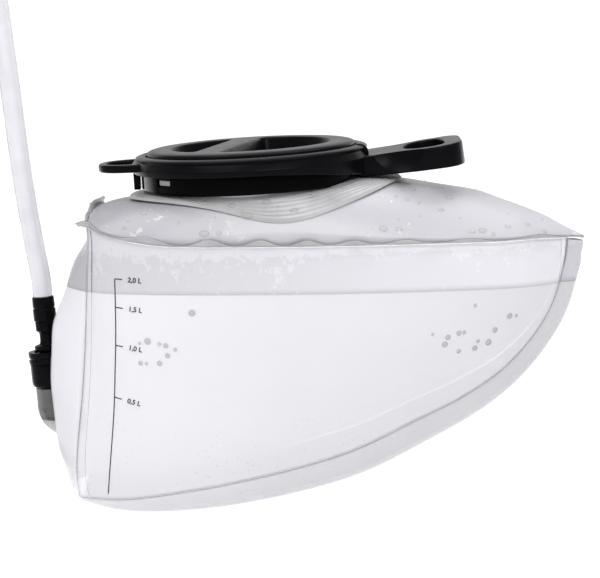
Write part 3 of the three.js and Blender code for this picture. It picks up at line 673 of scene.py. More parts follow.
def side_surface(side, inset=0.0, steps=SIDE_STEPS):
    """Side panel's grid: creased near the top seam and the rear, smooth where the water fills it."""
    u, v = unit_grid(*steps)
    point = side_point(0.004 + 0.992 * u, 0.004 + 0.992 * v)
    free = np.sin(np.pi * u) ** 0.5 * np.sin(np.pi * v) ** 0.5
    slack = 0.12 + 0.7 * smooth(0.72, 0.95, v) + 0.45 * smooth(0.22, 0.02, u)
    point[..., 1] += free * ripple(point[..., 0], point[..., 2], slack) - inset
    point[..., 1] *= side
    return point


def rear_surface(lift, steps=64):
    down = Spline(REAR_SEAM[::-1])
    width = profile(REAR_WIDTH[::-1])
    t, s = unit_grid(steps, GUSSET_ACROSS)
    s = 2 * s - 1
    folds = 0.9 * np.sin(t * 31 + 2 * np.abs(s)) * (1 - s**2) * (1 - t)
    return gusset_point(down, width, profile(REAR_LOBES), profile(REAR_VALLEY), t, s, lift + folds)


def belly_surface(lift, steps=120):
    t, s = unit_grid(steps, GUSSET_ACROSS)
    s = 2 * s - 1
    bulge = profile(BELLY_BULGE)
    folds = 0.35 * np.sin(t * 60 + 3 * s) * (1 - s**2) * smooth(0.75, 1.0, t)
    return gusset_point(Spline(GUSSET_SEAM), profile(GUSSET_WIDTH), bulge, bulge, t, s, lift + folds)


def top_surface(lift):
    u, v = unit_grid(130, 64)
    xz = top_outline(u)
    y = (2 * v - 1) * top_outline_width(u)
    x = xz[..., 0]
    far = np.clip(np.hypot(x - FLANGE_X, y * 1.2) / FLANGE_HALF - 0.9, 0, 1)
    edge = 1 - (2 * v - 1) ** 2
    puckers = smooth(0, 0.35, far) * edge * (ripple(x, y, 0.28) + 0.5 * np.sin(x / 3.9) * (1 - edge) ** 3)
    return np.stack([x, y, dome_height(x, y) + lift + puckers], -1)


def cut_round(piece, centre, axis, radius):
    """Removes the faces of a sheet that lie within radius of an axis."""
    bm = bmesh.new()
    bm.from_mesh(piece.data)
    centre, axis = Vector(put(centre)), Vector(axis).normalized()
    gone = []
    for face in bm.faces:
        arm = face.calc_center_median() - centre
        if (arm - axis * arm.dot(axis)).length < radius * MM and abs(arm.dot(axis)) < 30 * MM:
            gone.append(face)
    bmesh.ops.delete(bm, geom=gone, context="FACES")
    bm.to_mesh(piece.data)
    bm.free()


def film_sheet(name, points, look, node, hole=None):
    bm = bmesh.new()
    add_grid(bm, points)
    piece = to_object(name, bm, angle=80)
    if hole:
        cut_round(piece, *hole)
    thicken(piece, FILM)
    return settle(piece, "root", "film", look, node)


def build_film():
    side = film_look("film_side_look", (0.815, 0.81, 0.845), (0.59, 0.585, 0.62), 0.5, 0.62,
                     fog=1.08, clearing=1.26, dim=0.86)
    # The rear gusset's darker tone above the water is partly its folded, doubled film and partly painted
    # shade for a panel that faces sideways.
    back = film_look("film_gusset_look", (0.87, 0.865, 0.91), (0.48, 0.475, 0.51), 0.55, 0.68,
                     fog=1.06)
    under = film_look("film_belly_look", (0.77, 0.765, 0.8), (0.42, 0.415, 0.45), 0.58, 0.68,
                      fog=1.06, clearing=1.3, dim=0.76)
    port_hole = (PORT, (1, 0, 0), 7.2)
    mouth = (CLOSURE, CLOSURE_M.to_3x3() @ Vector((0, 0, 1)), 50.6)
    film_sheet("film_side_right", side_surface(-1), side, "side_panel_right")
    film_sheet("film_side_left", side_surface(1), side, "side_panel_left")
    film_sheet("film_rear", rear_surface(0.4), back, "rear_gusset", port_hole)
    film_sheet("film_belly", belly_surface(0.4), under, "belly_gusset")
    film_sheet("film_top", top_surface(0.4), dome_look(), "top_panel", mouth)


def build_water():
    """The load of water: the film body's inside up to the water's level."""
    bm = bmesh.new()
    for side in (-1, 1):
        add_grid(bm, side_surface(side, 0.9, (90, 36)))
    rear = rear_surface(-0.9, 60)
    belly = belly_surface(-0.9, 90)
    rear[:, :, 1] *= 0.98
    belly[:, :, 1] *= 0.98
    add_grid(bm, rear)
    add_grid(bm, belly)
    bmesh.ops.remove_doubles(bm, verts=bm.verts, dist=1.6)
    close_holes(bm)
    everything = bm.verts[:] + bm.edges[:] + bm.faces[:]
    bmesh.ops.bisect_plane(bm, geom=everything, plane_co=(0, 0, WATER), plane_no=(0, 0, 1),
                           clear_outer=True)
    close_holes(bm)
    piece = to_object("water", bm, angle=50)
    look = clear_look("water_look", (0.93, 0.94, 0.96), 0.12, 0.3, 0.03)
    settle(piece, "root", "film", look)


def close_holes(bm):
    bmesh.ops.holes_fill(bm, edges=[e for e in bm.edges if e.is_boundary], sides=0)
    edges = [e for e in bm.edges if e.is_boundary]
    if edges:
        bmesh.ops.triangle_fill(bm, use_beauty=True, edges=edges)


def strip(name, inner, outer, thick, look):
    """A narrow band of film between two lines of points."""
    bm = bmesh.new()
    rows = [inner + (outer - inner) * share for share in (0, 0.25, 0.5, 0.75, 1)]
    add_grid(bm, np.stack(rows, 1))
    piece = to_object(name, bm, angle=80)
    thicken(piece, thick, 0)
    return settle(piece, "root", "film", look)


WELD_LIFT = 0.35  # how far a weld stands off the middle of the film


def seam_line(side, inset):
    """Points on the side panel: down the rear, along the belly and up round the nose."""
    v = np.linspace(1, inset[1], 70)
    u = np.linspace(inset[0], 1 - inset[0], 170)
    rear = side_point(0 * v + inset[0], v)
    belly = side_point(u, 0 * u + inset[1])
    v = np.linspace(inset[1], 1, 30)
    nose = side_point(0 * v + 1 - inset[0], v)
    line = np.vstack([rear, belly[1:], nose[1:]])
    for _ in range(3):
        line[1:-1] = 0.5 * line[1:-1] + 0.25 * (line[2:] + line[:-2])
    line[:, 1] = side * (line[:, 1] + WELD_LIFT)
    return line


def build_seams():
    """Weld bands: a double line down the rear and along the belly, and the wavy lip along the top."""
    inner = weld_look("weld_look", (0.5, 0.48, 0.49), (0.08, 0.08, 0.09), 0.34)
    outer = weld_look("weld_edge_look", (0.5, 0.49, 0.52), (0.5, 0.49, 0.52), 0.3)
    edge = weld_look("lip_edge_look", (0.2, 0.19, 0.2), (0.14, 0.14, 0.15), 0.85)
    white = weld_look("lip_weld_look", (0.85, 0.85, 0.87), (0.6, 0.6, 0.62), 0.9)
    band = lip_look()

    def bead(name, line, radius, look):
        settle(tube(name, line, radius, 6), "root", "film", look)

    for side, name in ((-1, "right"), (1, "left")):
        bead(f"weld_line_inner_{name}", seam_line(side, (0.036, 0.013)), 0.13, inner)
        bead(f"weld_line_outer_{name}", seam_line(side, (0.002, 0.001)), 0.16, outer)
        foot, tip = top_lip(side)
        strip(f"top_lip_{name}", foot, tip, 0.4, band)
        bead(f"lip_line_{name}", tip, 0.17, edge)
        bead(f"lip_weld_{name}", foot - (0, 0, 0.5), 0.22, white)


def top_lip(side):
    """Foot and tip of the top panel's weld lip: it stands up off the seam, waves, and ends in a point."""
    t = np.linspace(0, 1, 400)
    xz = top_outline(t)
    x = xz[:, 0]
    foot = np.stack([x, side * (top_outline_width(t) + 0.5), xz[:, 1] - 0.4], -1)
    ends = smooth(0, 0.02, t) * smooth(1, 0.97, t)
    wave = (0.5 + 0.5 * np.sin(x / 4.4 + 1.6 * np.sin(x / 31) + 0.6)) ** 1.4
    tall = 0.5 + (2.9 - 1.8 * smooth(-60, 110, x)) * wave * ends + 0.5 * smooth(-60, -95, x)
    out = -5.6 * smooth(0.03, 0, t)
    tip = foot + np.stack([out, side * (0.5 + 0.5 * np.cos(x / 5.1)), tall], -1)
    foot[:, 0] += 0.8 * out
    return foot, tip


def build_rear_pleat(look):
    """The top panel's rear edge: a low lip, folded over towards the far corner."""
    s = np.linspace(-1, 1, 70)
    foot = np.stack([-104.4 - 1.2 * (1 - s**2), 47.0 * s, 38.0 + 2.2 * (1 - np.abs(s) ** 3)], -1)
    rise = 0.8 + 3.4 * smooth(-0.1, 0.5, s) + 0.4 * np.sin(9 * s)
    tip = foot + np.stack([-1.2 + 4.0 * smooth(0.0, 0.8, s), 0.8 * np.sin(4 * s), rise], -1)
    strip("rear_pleat", foot - (0, 0, 1.2), tip, 0.6, look)


# ---------------------------------------------------------------- closure
def collar_foot_room(verts, low):
    """Lifts the foot of a turned piece clear of the flange under it."""
    inverse = CLOSURE_M.inverted()
    angles = np.linspace(0, 1, 361)
    ridge = [inverse @ Vector(p) for p in flange_point(0.35 + 0 * angles, angles, 1.4)]
    turn = np.array([math.atan2(p.y, p.x) % (2 * math.pi) for p in ridge])
    order = np.argsort(turn)
    height = np.array([p.z for p in ridge])[order]
    for vert in verts:
        if vert.co.z < low + 2:
            need = np.interp(math.atan2(vert.co.y, vert.co.x) % (2 * math.pi), turn[order], height)
            vert.co.z += max(0.0, need - low)


def build_flange(look):
    bm = bmesh.new()
    u, v = np.meshgrid(np.linspace(0, 1, 141), np.linspace(0, 1, 241)[:-1], indexing="ij")
    grooves = sum(0.38 * np.exp(-(((u - at) / 0.011) ** 2)) for at in (0.58, 0.68, 0.78, 0.87))
    rim = 1.7 * (1 - 0.3 * u) - 1.0 * smooth(0.93, 1.0, u) ** 2
    low = flange_point(u, v)
    top = flange_point(u, v, rim - grooves)
    add_grid(bm, np.swapaxes(np.concatenate([top, low[::-1], top[:1]], 0), 0, 1), wrap=True)
    neck = bmesh.new()
    wall = [(NECK_R, COLLAR_FOOT - 2), (50, COLLAR_FOOT - 2), (50, -9), (NECK_R, -9)]
    add_lathe(neck, rounded(wall, 0.8), 128)
    neck.transform(CLOSURE_M)
    join_into(bm, neck)
    settle(to_object("neck_skirt", bm, angle=40), "root", "flange_tpu", look, "neck_flange")


def join_into(bm, other, matrix=None):
    """Adds another mesh's geometry to bm."""
    if matrix is not None:
        other.transform(matrix)
    mesh = bpy.data.meshes.new("joined")
    other.to_mesh(mesh)
    other.free()
    bm.from_mesh(mesh)
    bpy.data.meshes.remove(mesh)


def rectangle(x, y, spacing, passes, centre=(0.0, 0.0)):
    """Outline of a rectangle, x and y its half sizes, with its corners eased."""
    corners = np.array([(-x, -y), (x, -y), (x, y), (-x, y)]) + centre
    return even(corners, spacing, passes)


def box(name, size, centre, radius, turn=0.0):
    """A box on the closure, with rounded upright edges and rounded rims, turned about its axis."""
    x, y, half = np.array(size) / 2
    bm = bmesh.new()
    add_slab(bm, rectangle(x, y, min(x, y) / 3, 1), None, centre[2] - half, centre[2] + half, radius)
    bm.transform(Matrix.Rotation(turn, 4, "Z") @ Matrix.Translation((centre[0], centre[1], 0)))
    return to_object(name, bm, CLOSURE_M)


def build_collar(look, lug_look):
    bm = bmesh.new()
    outline = [(51.5, COLLAR_FOOT), (55.4, COLLAR_FOOT), (56, COLLAR_FOOT + 1.2), (56, -11.6), (55.4, -11),
               (51.5, -11)]
    add_lathe(bm, rounded(outline, 0.5), 160)
    collar_foot_room(bm.verts, COLLAR_FOOT)
    collar = to_object("collar_gloss", bm, CLOSURE_M)
    for i in range(3):
        turn = math.radians(219 + 120 * i)
        boolean(collar, box("window_tool", (12, 10.4, 3.6), (54, 0, LUG_Z), 0.5, turn))
        lug = box(f"snap_lug_{i + 1}", (5, 9.4, 2.8), (52.6, 0, LUG_Z), 0.5, turn)
        settle(lug, "root", "flange_tpu", lug_look)
    settle(collar, "root", "black_gloss", look, "neck_collar")


def handle_outline():
    half = bezier([(39.5, 12), (39.5, 20), (36, 27.5), (27, 27.5), (22, 27.5), (18, 27.5), (15, 27),
                   (8, 25), (0, 22.5), (-11, 20), (-16, 19), (-20, 19), (-24, 19)])
    inside = 54.5  # radius of the arc that the root ends on, inside the ring
    rear = [(CLOSURE[0] - PAD[0] + inside * math.cos(a), inside * math.sin(a))
            for a in np.linspace(0.36, -0.36, 16)]
    return even(np.vstack([half, rear, half[::-1] * (1, -1)]), 1.3, 3)


def finger_hole():
    half = bezier([(10, 0), (10, 12), (14, 20), (21.5, 20.5), (29, 21), (31, 15), (31, 0)])
    return even(np.vstack([half, half[-2:0:-1] * (1, -1)]), 1.2, 3)


def loop_side(reach, root, bow):
    """One side of the hang loop's outline, from its tip to the ring; bow is the widths along it."""
    tip = -(RING_R - 1 + reach + 6.2)
    return bezier([(tip, 0), (tip, bow[0]), (tip + 3, bow[1]), (root, bow[2])])


def hang_loop():
    """Outlines of the loop and of its hole."""
    side = loop_side(12.5, -RING_R, (9.5, 16.15, 19))
    hole = loop_side(8.6, -60.2, (7.3, 12.4, 14.2))
    outer = [side, [(-52.5, 19), (-52.5, -19)], side[:0:-1] * (1, -1)]
    return even(np.vstack(outer), 1.0, 2), even(np.vstack([hole, hole[:0:-1] * (1, -1)]), 1.0, 2)


def scoop(side):
    """Ball that hollows one side wall of the handle."""
    bm = bmesh.new()
    bmesh.ops.create_uvsphere(bm, u_segments=96, v_segments=64, radius=27)
    bm.transform(Matrix.Translation((1.8, side * 46.8, 4.5)))
    return to_object("scoop_tool", bm, PAD_M)


def slab(name, outline, hole, low, high, radius, matrix, height=None):
    bm = bmesh.new()
    add_slab(bm, outline, hole, low, high, radius, height)
    return to_object(name, bm, matrix)


def build_handle(look):
    outline = [(50.6, RING_LOW), (56.9, RING_LOW), (57.1, -11.2), (59.1, -11.2), (RING_R, -10.7),
               (RING_R, -8.4), (59.3, -7.8), (58.2, -5.6), (57.7, -4.9), (58.3, -4.5), (58.6, -3.9),
               (58.3, -3.3), (57.0, -2.7), (54.6, -2.3), (53.4, -3.1), (53.4, RING_TOP), (50.6, RING_TOP)]
    bm = bmesh.new()
    add_lathe(bm, rounded(outline, 0.35), 192)
    for vert in bm.verts:  # the skirt drops towards the handle
        if vert.co.xy.length > 56.9 and vert.co.z < -10.2:
            vert.co.z -= 0.0017 * max(0.0, vert.co.x) ** 2
    ring = to_object("handle", bm, CLOSURE_M)

    def tilted(x, z):
        """The handle grows a little thicker towards its end, above and below."""
        return z - 0.0201 * x if z < -5 else z + 0.03 * max(0.0, x - 28)

    grip = slab("grip_tool", handle_outline(), finger_hole(), -10.6, 0, 0.9, PAD_M, tilted)
    for side in (-1, 1):
        boolean(grip, scoop(side))
    bm = bmesh.new()
    add_lathe(bm, [(0, -40), (57.6, -40), (57.6, RING_LOW), (0, RING_LOW)], 128)
    boolean(grip, to_object("root_tool", bm, CLOSURE_M))
    arch = [(54.2 + 3.5 * math.cos(a), -13, 3.5 * math.sin(a) - 6.6)
            for a in np.linspace(-0.5, np.pi + 0.5, 30)]
    for tool in (grip,
                 tube("arch_tool", arch, 1.3, 20, matrix=CLOSURE_M),
                 slab("loop_tool", *hang_loop(), -9.4, -5.4, 1.2, CLOSURE_M),
                 box("tab_tool", (3.4, 8, 8.8), (-58.2, 0, -15.0), 0.7),
                 box("fin_tool", (3.6, 8, 5), (-57.8, 0, -9.0), 0.7)):
        boolean(ring, tool, "UNION")
    ring.data.set_sharp_from_angle(angle=math.radians(24.5))
    settle(ring, "root", "black_matte", look, "handle_ring")


def pocket_outline(side):
    """The pocket circle on one side of the grip bar, with eased corners."""
    chord = side * GRIP_HALF - GRIP_SHIFT * math.cos(GRIP_TURN)
    half = math.acos(chord / POCKET_R)
    arc = np.linspace(-half, half, 60) if side > 0 else np.linspace(half, 2 * np.pi - half, 60)
    points = POCKET_R * np.stack([np.cos(arc - GRIP_TURN), np.sin(arc - GRIP_TURN)], -1)
    return even(points, 1.3, 10)


def build_cap(look, gasket_look):
    bm = bmesh.new()
    profile_line = [(0.0, -11.2), (42.4, -11.2), (42.4, -15), (45.5, -15), (45.5, -12.4), (44.6, -12.3),
                    (44.6, -9.3), (45.5, -9.2), (45.5, -3.8), (51.0, -3.7), (52.0, -3.2), (52.5, -2.3),
                    (52.4, -1.5), (51.9, -0.9), (51.0, -0.5), (49.8, -0.2), (48.4, -0.05), (46.8, 0)]
    grid = add_lathe(bm, profile_line, 192, closed=False)
    loops = [[column[-1] for column in grid]]
    depth = [(1.3, 0), (0.75, -0.12), (0.3, -0.45), (0, -1.1), (-0.9, -POCKET_DEPTH + 1.8),
             (-1.4, -POCKET_DEPTH + 0.7), (-2.4, -POCKET_DEPTH + 0.1), (-3.6, -POCKET_DEPTH)]
    for side in (-1, 1):
        wall = add_wall(bm, pocket_outline(side), depth)
        fill(bm, wall[-1])
        loops.append(wall[0])
    fill(bm, *loops)
    settle(to_object("cap", bm, CLOSURE_M), "cap", "black_matte", look, "fill_cap")
    gasket = lathe("gasket", [(44.9, -12.1), (46.4, -12.1), (46.7, -10.8), (46.4, -9.5), (44.9, -9.5)],
                   CLOSURE_M, 0.4, 128)
    settle(gasket, "cap_seal", "silicone", gasket_look, "cap_gasket")


# ---------------------------------------------------------------- outlet and quick release
def elbow_path(first, last, steps=26):
    """Out of the port along -X, round the bend, and up the fitting's axis."""
    lean, bend = math.radians(FITTING_LEAN), 9.0
    sweep = math.pi / 2 + lean
    rise = (FITTING[2] - PORT[2]) - bend * (1 - math.cos(sweep))
    middle = FITTING[0] + rise * math.tan(lean) + bend * math.sin(sweep)
    arc = [(middle - bend * math.sin(a), 0, PORT[2] + bend * (1 - math.cos(a)))
           for a in np.linspace(0, sweep, steps)]
    end = (FITTING[0] - last * math.sin(lean), 0, FITTING[2] + last * math.cos(lean))
    run = [np.array(arc[-1]) * (1 - k) + np.array(end) * k for k in (0.34, 0.67, 1.0)]
    start = [(first, 0, PORT[2]), (0.5 * (first + arc[0][0]), 0, PORT[2])]
    return np.vstack([start, arc, run])


def build_outlet(flange_look, elbow_finish, matte):
    rim = placed(PORT) @ Matrix.Rotation(math.pi / 2, 4, "Y")
    port = [(5.2, -1.9), (10.5, -1.9), (10.5, -0.8), (6.8, -0.6), (6.8, 4), (5.2, 4)]
    settle(lathe("port_rim", port, rim, 0.3), "root", "flange_tpu", flange_look, "port_flange")
    elbow = tube("elbow", elbow_path(PORT[0] - 2.2, -0.2), 8.5, 40, 5.9)
    settle(elbow, "root", "elbow", elbow_finish, "outlet_elbow")
    barb = [(2.6, -9.5), (3.6, -9.5), (4.9, -8), (4.9, -7), (4.2, -6.6), (5.2, -4.4), (5.2, -3.4),
            (4.4, -3), (5.3, -1), (5.6, 0.4), (2.6, 0.4)]
    settle(lathe("elbow_barb", barb, FITTING_M, 0.3), "root", "black_matte", matte)


RINGS = (
    # name, node, body, slot, (radius, height) outline up the connector's axis
    ("socket", "socket_body", "root", "black_matte",
     [(3.2, 0.3), (8.2, 0.3), (9.6, 1.3), (10, 2.8), (10, 12.3), (7.1, 12.3), (7.1, 17.6), (5.2, 17.6),
      (5.2, 3), (3.2, 3)]),
    ("release_ring", "release_collar", "collar", "black_matte",
     [(7.5, 12.6), (10.4, 12.6), (10.4, 14.5), (9.8, 14.9), (9.8, 15.5), (10.4, 15.9), (10.4, 18.6),
      (7.5, 18.6), (7.5, 17.6), (8.7, 17.6), (8.7, 13.4), (7.5, 13.4)]),
    ("poppet", "shutoff_poppet", "poppet", "silicone",
     [(0, 4.4), (3.6, 4.4), (4.3, 5.2), (4.3, 6.2), (1.6, 6.2), (1.6, 7.4), (0, 7.4)]),
    ("plug", "hose_plug", "hose", "black_matte",
     [(2.3, 7.9), (4.4, 7.9), (4.7, 8.3), (4.7, 10.2), (3.8, 10.2), (3.8, 12.2), (4.8, 12.2), (4.8, 18.9),
      (6.9, 19.4), (6.9, 21.4), (4.3, 22.2), (3.8, 23.5), (3.7, 27.4), (4.3, 28.6), (5.3, 29.2),
      (5.3, 33.9), (2.3, 33.9)]),
    ("plug_seal", "plug_o_ring", "hose", "seal",
     [(4.15, 10.5), (4.85, 10.5), (4.85, 11.9), (4.15, 11.9)]),
    ("cuff", "hose_cuff", "hose", "black_matte",
     [(2.3, 34.2), (5.8, 34.2), (5.8, 39.9), (5.4, 40.4), (5.4, 40.9), (5.7, 41.4), (5.55, 46.4),
      (2.3, 46.4)]),
)


def build_connector(looks):
    for name, node, body, slot, outline in RINGS:
        piece = lathe(name, outline, FITTING_M, 0.35)
        settle(piece, body, slot, looks[slot], node)


# ---------------------------------------------------------------- hose
def hose_path():
    """From the cuff: up past the bladder, over an arch, down to the coil, and once and a half round."""
    lean = math.radians(FITTING_LEAN)
    start = (FITTING[0] - 46.7 * math.sin(lean), 0, FITTING[2] + 46.7 * math.cos(lean))
    left, top = COIL[0] - COIL_R, COIL[2] + 2 * HOSE_R
    route = [start, (-131.4, 0, 5), (-133.1, 0, 15), (-135.2, 0, 26), (-138.4, 0, 45), (-141.3, 0, 65),
             (-143.9, 0, 86), (-146.3, 0, 106), (-148.9, 0, 126), (-151.6, 0, 146), (-155, 1, 164),
             (-163, 4, 184), (-177, 9, 201), (-197, 15, 211), (-219, 22, 210), (-239, 29, 199),
             (-254, 37, 180), (-262, 45, 158), (-266, 54, 134), (-268, 62, 108), (left, 70, 78),
             (left, 78, 46), (left, 84, 14), (left, 88, -16), (left, 90, -42), (left, 88, -62),
             (left, 79, -80), (left, 65, -92), (left, 49, top + 0.6), (left, 33.5, top)]
    run = Spline(route)(np.linspace(0, 1, 260))
    turns = []
    for a in np.linspace(0, 3 * np.pi, 110)[1:]:
        height = top - 2 * HOSE_R * float(smooth(0.6, 2 * np.pi + 0.4, a))
        turns.append((COIL[0] - COIL_R * math.cos(a), -COIL_R * math.sin(a), height))
    lead = [(left, y, top) for y in np.linspace(33.5, 0, 14)[1:]]
    out = [(COIL[0] + COIL_R, y, COIL[2]) for y in np.linspace(0, 33.0, 14)[1:]]
    return np.vstack([run, lead, turns, out])


def build_hose(look):
    path = hose_path()
    hose = tube("hose", path, HOSE_R, 24, HOSE_BORE)
    settle(hose, "hose", "hose", look, "hose_run", "hose_coil")
    length = float(np.sum(np.linalg.norm(np.diff(path, axis=0), axis=1))) * MM
    return hose, put(path), length


def build_tie(look):
    """Hook-and-loop strap round both turns of the coil, its end lapped over."""
    high = 11.0
    outline = rectangle(5.9, high, 0.8, 5)
    bm = bmesh.new()
    walls = add_wall(bm, outline, [(0, -7), (0.9, -7), (1.1, -6.6), (1.1, 6.6), (0.9, 7), (0, 7)])
    for i in range(len(outline)):
        j = (i + 1) % len(outline)
        bm.faces.new((walls[-1][i], walls[-1][j], walls[0][j], walls[0][i]))
    lap = bmesh.new()
    add_slab(lap, rectangle(6.8, 5.5, 0.8, 3), None, 0, 1.0, 0.4)
    join_into(bm, lap, Matrix.Translation((0, high + 2.0, 0)) @ Matrix.Rotation(math.pi / 2, 4, "X"))
    spin = Matrix(((0, 0, 1, 0), (1, 0, 0, 0), (0, 1, 0, 0), (0, 0, 0, 1)))
    centre = Vector((COIL[0], COIL[1] - COIL_R, COIL[2] + HOSE_R))
    tie = to_object("tie", bm, Matrix.Translation(centre) @ spin)
    return settle(tie, "hose", "strap", look, "coil_tie")


def build_lever(look):
    """Shut-off lever: a rotor through the valve, with a paddle on its side."""
    bm = bmesh.new()
    rotor = [(0, -8.4), (4.9, -8.4), (4.9, 8), (6.4, 8.2), (6.4, 11), (0, 11)]
    add_lathe(bm, rounded(rotor, 0.5), 64)
    paddle = even(np.array([(-2, -1), (2, -1), (2.6, 13), (-2.6, 13)]), 0.6, 4)
    blade = bmesh.new()
    add_slab(blade, paddle * (1, -1), None, 8.4, 11.4, 0.8)
    join_into(bm, blade)
    across = Matrix.Translation((0, 0, 23)) @ Matrix.Rotation(-math.pi / 2, 4, "X")
    return settle(to_object("lever", bm, VALVE_M @ across), "lever", "black_gloss", look, "shutoff_lever")


def build_valve(looks):
    """Bite valve with its shut-off lever and dust cover."""

    def turned(name, node, body, slot, radius, outline):
        return settle(lathe(name, outline, VALVE_M, radius), body, slot, looks[slot], node)

    shell = [(2.4, 0), (6.6, 0), (6.6, 12), (6, 14), (7.6, 16), (7.6, 30), (4.6, 31.4), (4.6, 38), (2.4, 38)]
    bite = [(4.9, 32.2), (7.4, 32.2), (8, 33), (8, 46), (7.2, 50), (3.4, 57), (1.2, 58), (1.2, 40),
            (4.9, 38.6)]
    cover = [(8.4, 40), (9.4, 40), (9.4, 55), (7.6, 60.4), (0, 60.4), (0, 59.2), (7, 59.2), (8.4, 54.4)]
    return [turned("valve_shell", "valve_body", "hose", "black_matte", 0.5, shell),
            build_lever(looks["black_gloss"]),
            turned("bite", "bite_valve", "hose", "silicone", 0.9, bite),
            turned("cover", "dust_cover", "cover", "flange_tpu", 0.6, cover)]


# ---------------------------------------------------------------- print, drops and bubbles
# Height, words, and how many degrees the mark slopes down towards the nose.
SCALE_MARKS = ((12.2, "2,0 L", 4), (-1.9, "1,5 L", 6), (-20.8, "1,0 L", 9), (-47.0, "0,5 L", 14))
TICK, WORDS_AT, RULE_HALF, INK = 3.6, 6.4, 0.24, 0.08


def on_side(points, tree, lift):
    """Layout (x, z) points moved onto the right side panel, standing lift off it."""
    made = []
    for x, z in points:
        start = Vector(put((x, -90, z)))
        hit = tree.ray_cast(start, Vector((0, 1, 0)))[0]
        y = hit.y / MM if hit else -45.0
        made.append((x, y - lift, z))
    return made


def build_scale(tree, look):
    """Volume scale printed on the right side: a rule, ticks, and the litres at each."""
    bm = bmesh.new()
    rule_x = Spline([(-90.6, 12.2), (-90.3, -12), (-90.9, -34), (-92.2, -60), (-95.9, -98.6)])

    def band(a, b):
        a, b = np.array(a), np.array(b)
        across = np.array([-(b - a)[1], (b - a)[0]]) / np.linalg.norm(b - a) * RULE_HALF
        corners = on_side([a - across, b - across, b + across, a + across], tree, 0.18)
        bm.faces.new([bm.verts.new(p) for p in corners])

    steps = rule_x(np.linspace(0, 1, 40))
    for a, b in zip(steps, steps[1:]):
        band(a, b)
    for z, _, slope in SCALE_MARKS:
        x = float(np.interp(-z, -steps[:, 1], steps[:, 0]))
        band((x, z), (x + TICK, z - TICK * math.tan(math.radians(slope))))
    settle(thicken(to_object("scale_rule", bm), INK, 0), "root", "film", look)
    for z, words, slope in SCALE_MARKS:
        curve = bpy.data.curves.new("numeral", "FONT")
        curve.body = words
        curve.size = 3.4
        curve.offset = 0.07
        curve.align_y = "CENTER"
        text = bpy.data.objects.new("numeral", curve)
        bpy.context.scene.collection.objects.link(text)
        graph = bpy.context.evaluated_depsgraph_get()
        mesh = bpy.data.meshes.new_from_object(text.evaluated_get(graph))
        bm = bmesh.new()
        bm.from_mesh(mesh)
        bm.transform(Matrix.Rotation(-math.radians(slope), 4, "Z"))
        x = float(np.interp(-z, -steps[:, 1], steps[:, 0])) + WORDS_AT
        z -= WORDS_AT * math.tan(math.radians(slope))
        flat = [(x + v.co.x, z + v.co.y) for v in bm.verts]
        for vert, point in zip(bm.verts, on_side(flat, tree, 0.2)):
            vert.co = point
        bpy.data.objects.remove(text)
        piece = to_object("scale_" + words[:3].replace(",", "_"), bm)
        settle(thicken(piece, INK, 0), "root", "film", look)


def add_drop(bm, hit, radius, flat, wide=1.0):
    """A drop of water on a surface, where a ray hit it."""
    centre, normal = np.array(hit[0]) / MM + PAD, hit[1]
    turn = Vector(normal).to_track_quat("Z", "Y").to_matrix().to_4x4()
    matrix = Matrix.Translation(Vector(centre)) @ turn @ Matrix.Diagonal((wide, 1 / wide, flat, 1))
    bmesh.ops.create_uvsphere(bm, u_segments=16, v_segments=8, radius=radius, matrix=matrix)


# The larger drops on the top film: plan position and radius.
LARGE_DROPS = ((-76.7, -42.0, 1.5), (-46.8, -56.2, 2.0), (-84.4, -45.8, 0.9), (-85.6, -50.0, 1.0),
               (55.9, -22.4, 1.9), (47.4, -31.7, 1.0), (53.1, -31.6, 1.2), (58.8, -31.5, 0.9),
               (74.4, -21.7, 1.7), (69.9, -30.5, 1.5), (41.0, -45.6, 1.9), (48.6, -43.9, 1.5),
               (90.3, -33.2, 1.8), (85.0, -35.2, 1.4), (103.3, -26.6, 1.4), (113.6, -19.3, 1.4),
               (122.3, -16.6, 1.4), (121.6, -10.2, 1.0), (95.9, -32.8, 1.1), (-39.5, -56.2, 1.2))
# Drops on the neck flange's front: plan position and radius.
FLANGE_DROPS = ((-47.0, -47.7, 1.7), (-33.2, -51.0, 1.5), (-25.9, -53.4, 2.0), (-16.1, -51.2, 1.8),
                (-2.4, -51.0, 1.8), (5.4, -46.5, 1.3), (22.6, -45.0, 1.6))


def build_drops(top_tree, flange_tree, look):
    """Drops on the top film and on the flange, with fine ones scattered between them."""
    rng = np.random.default_rng(11)
    bm = bmesh.new()
    spots = [(x, y, radius, 0.5, top_tree) for x, y, radius in LARGE_DROPS]
    spots += [(x, y, radius, 0.5, flange_tree) for x, y, radius in FLANGE_DROPS]
    for _ in range(170):
        x, y = rng.uniform(-100, 136), rng.uniform(-54, 30)
        if ((x - FLANGE_X) / (FLANGE_HALF + 1)) ** 2 + (y / (FLANGE_SIDE + 1)) ** 2 > 1:
            spots.append((x, y, 0.3 + 0.45 * rng.random() ** 3, 0.45, top_tree))
    for x, y, radius, flat, tree in spots:
        hit = tree.ray_cast(Vector(put((x, y, 120))), Vector((0, 0, -1)))
        if hit[0] is None:
            continue
        wide = 1.0 + 0.5 * rng.random() if radius > 1.1 else 1.0
        add_drop(bm, hit, radius, flat, wide)
    settle(to_object("droplets", bm, angle=180), "root", "film", look)


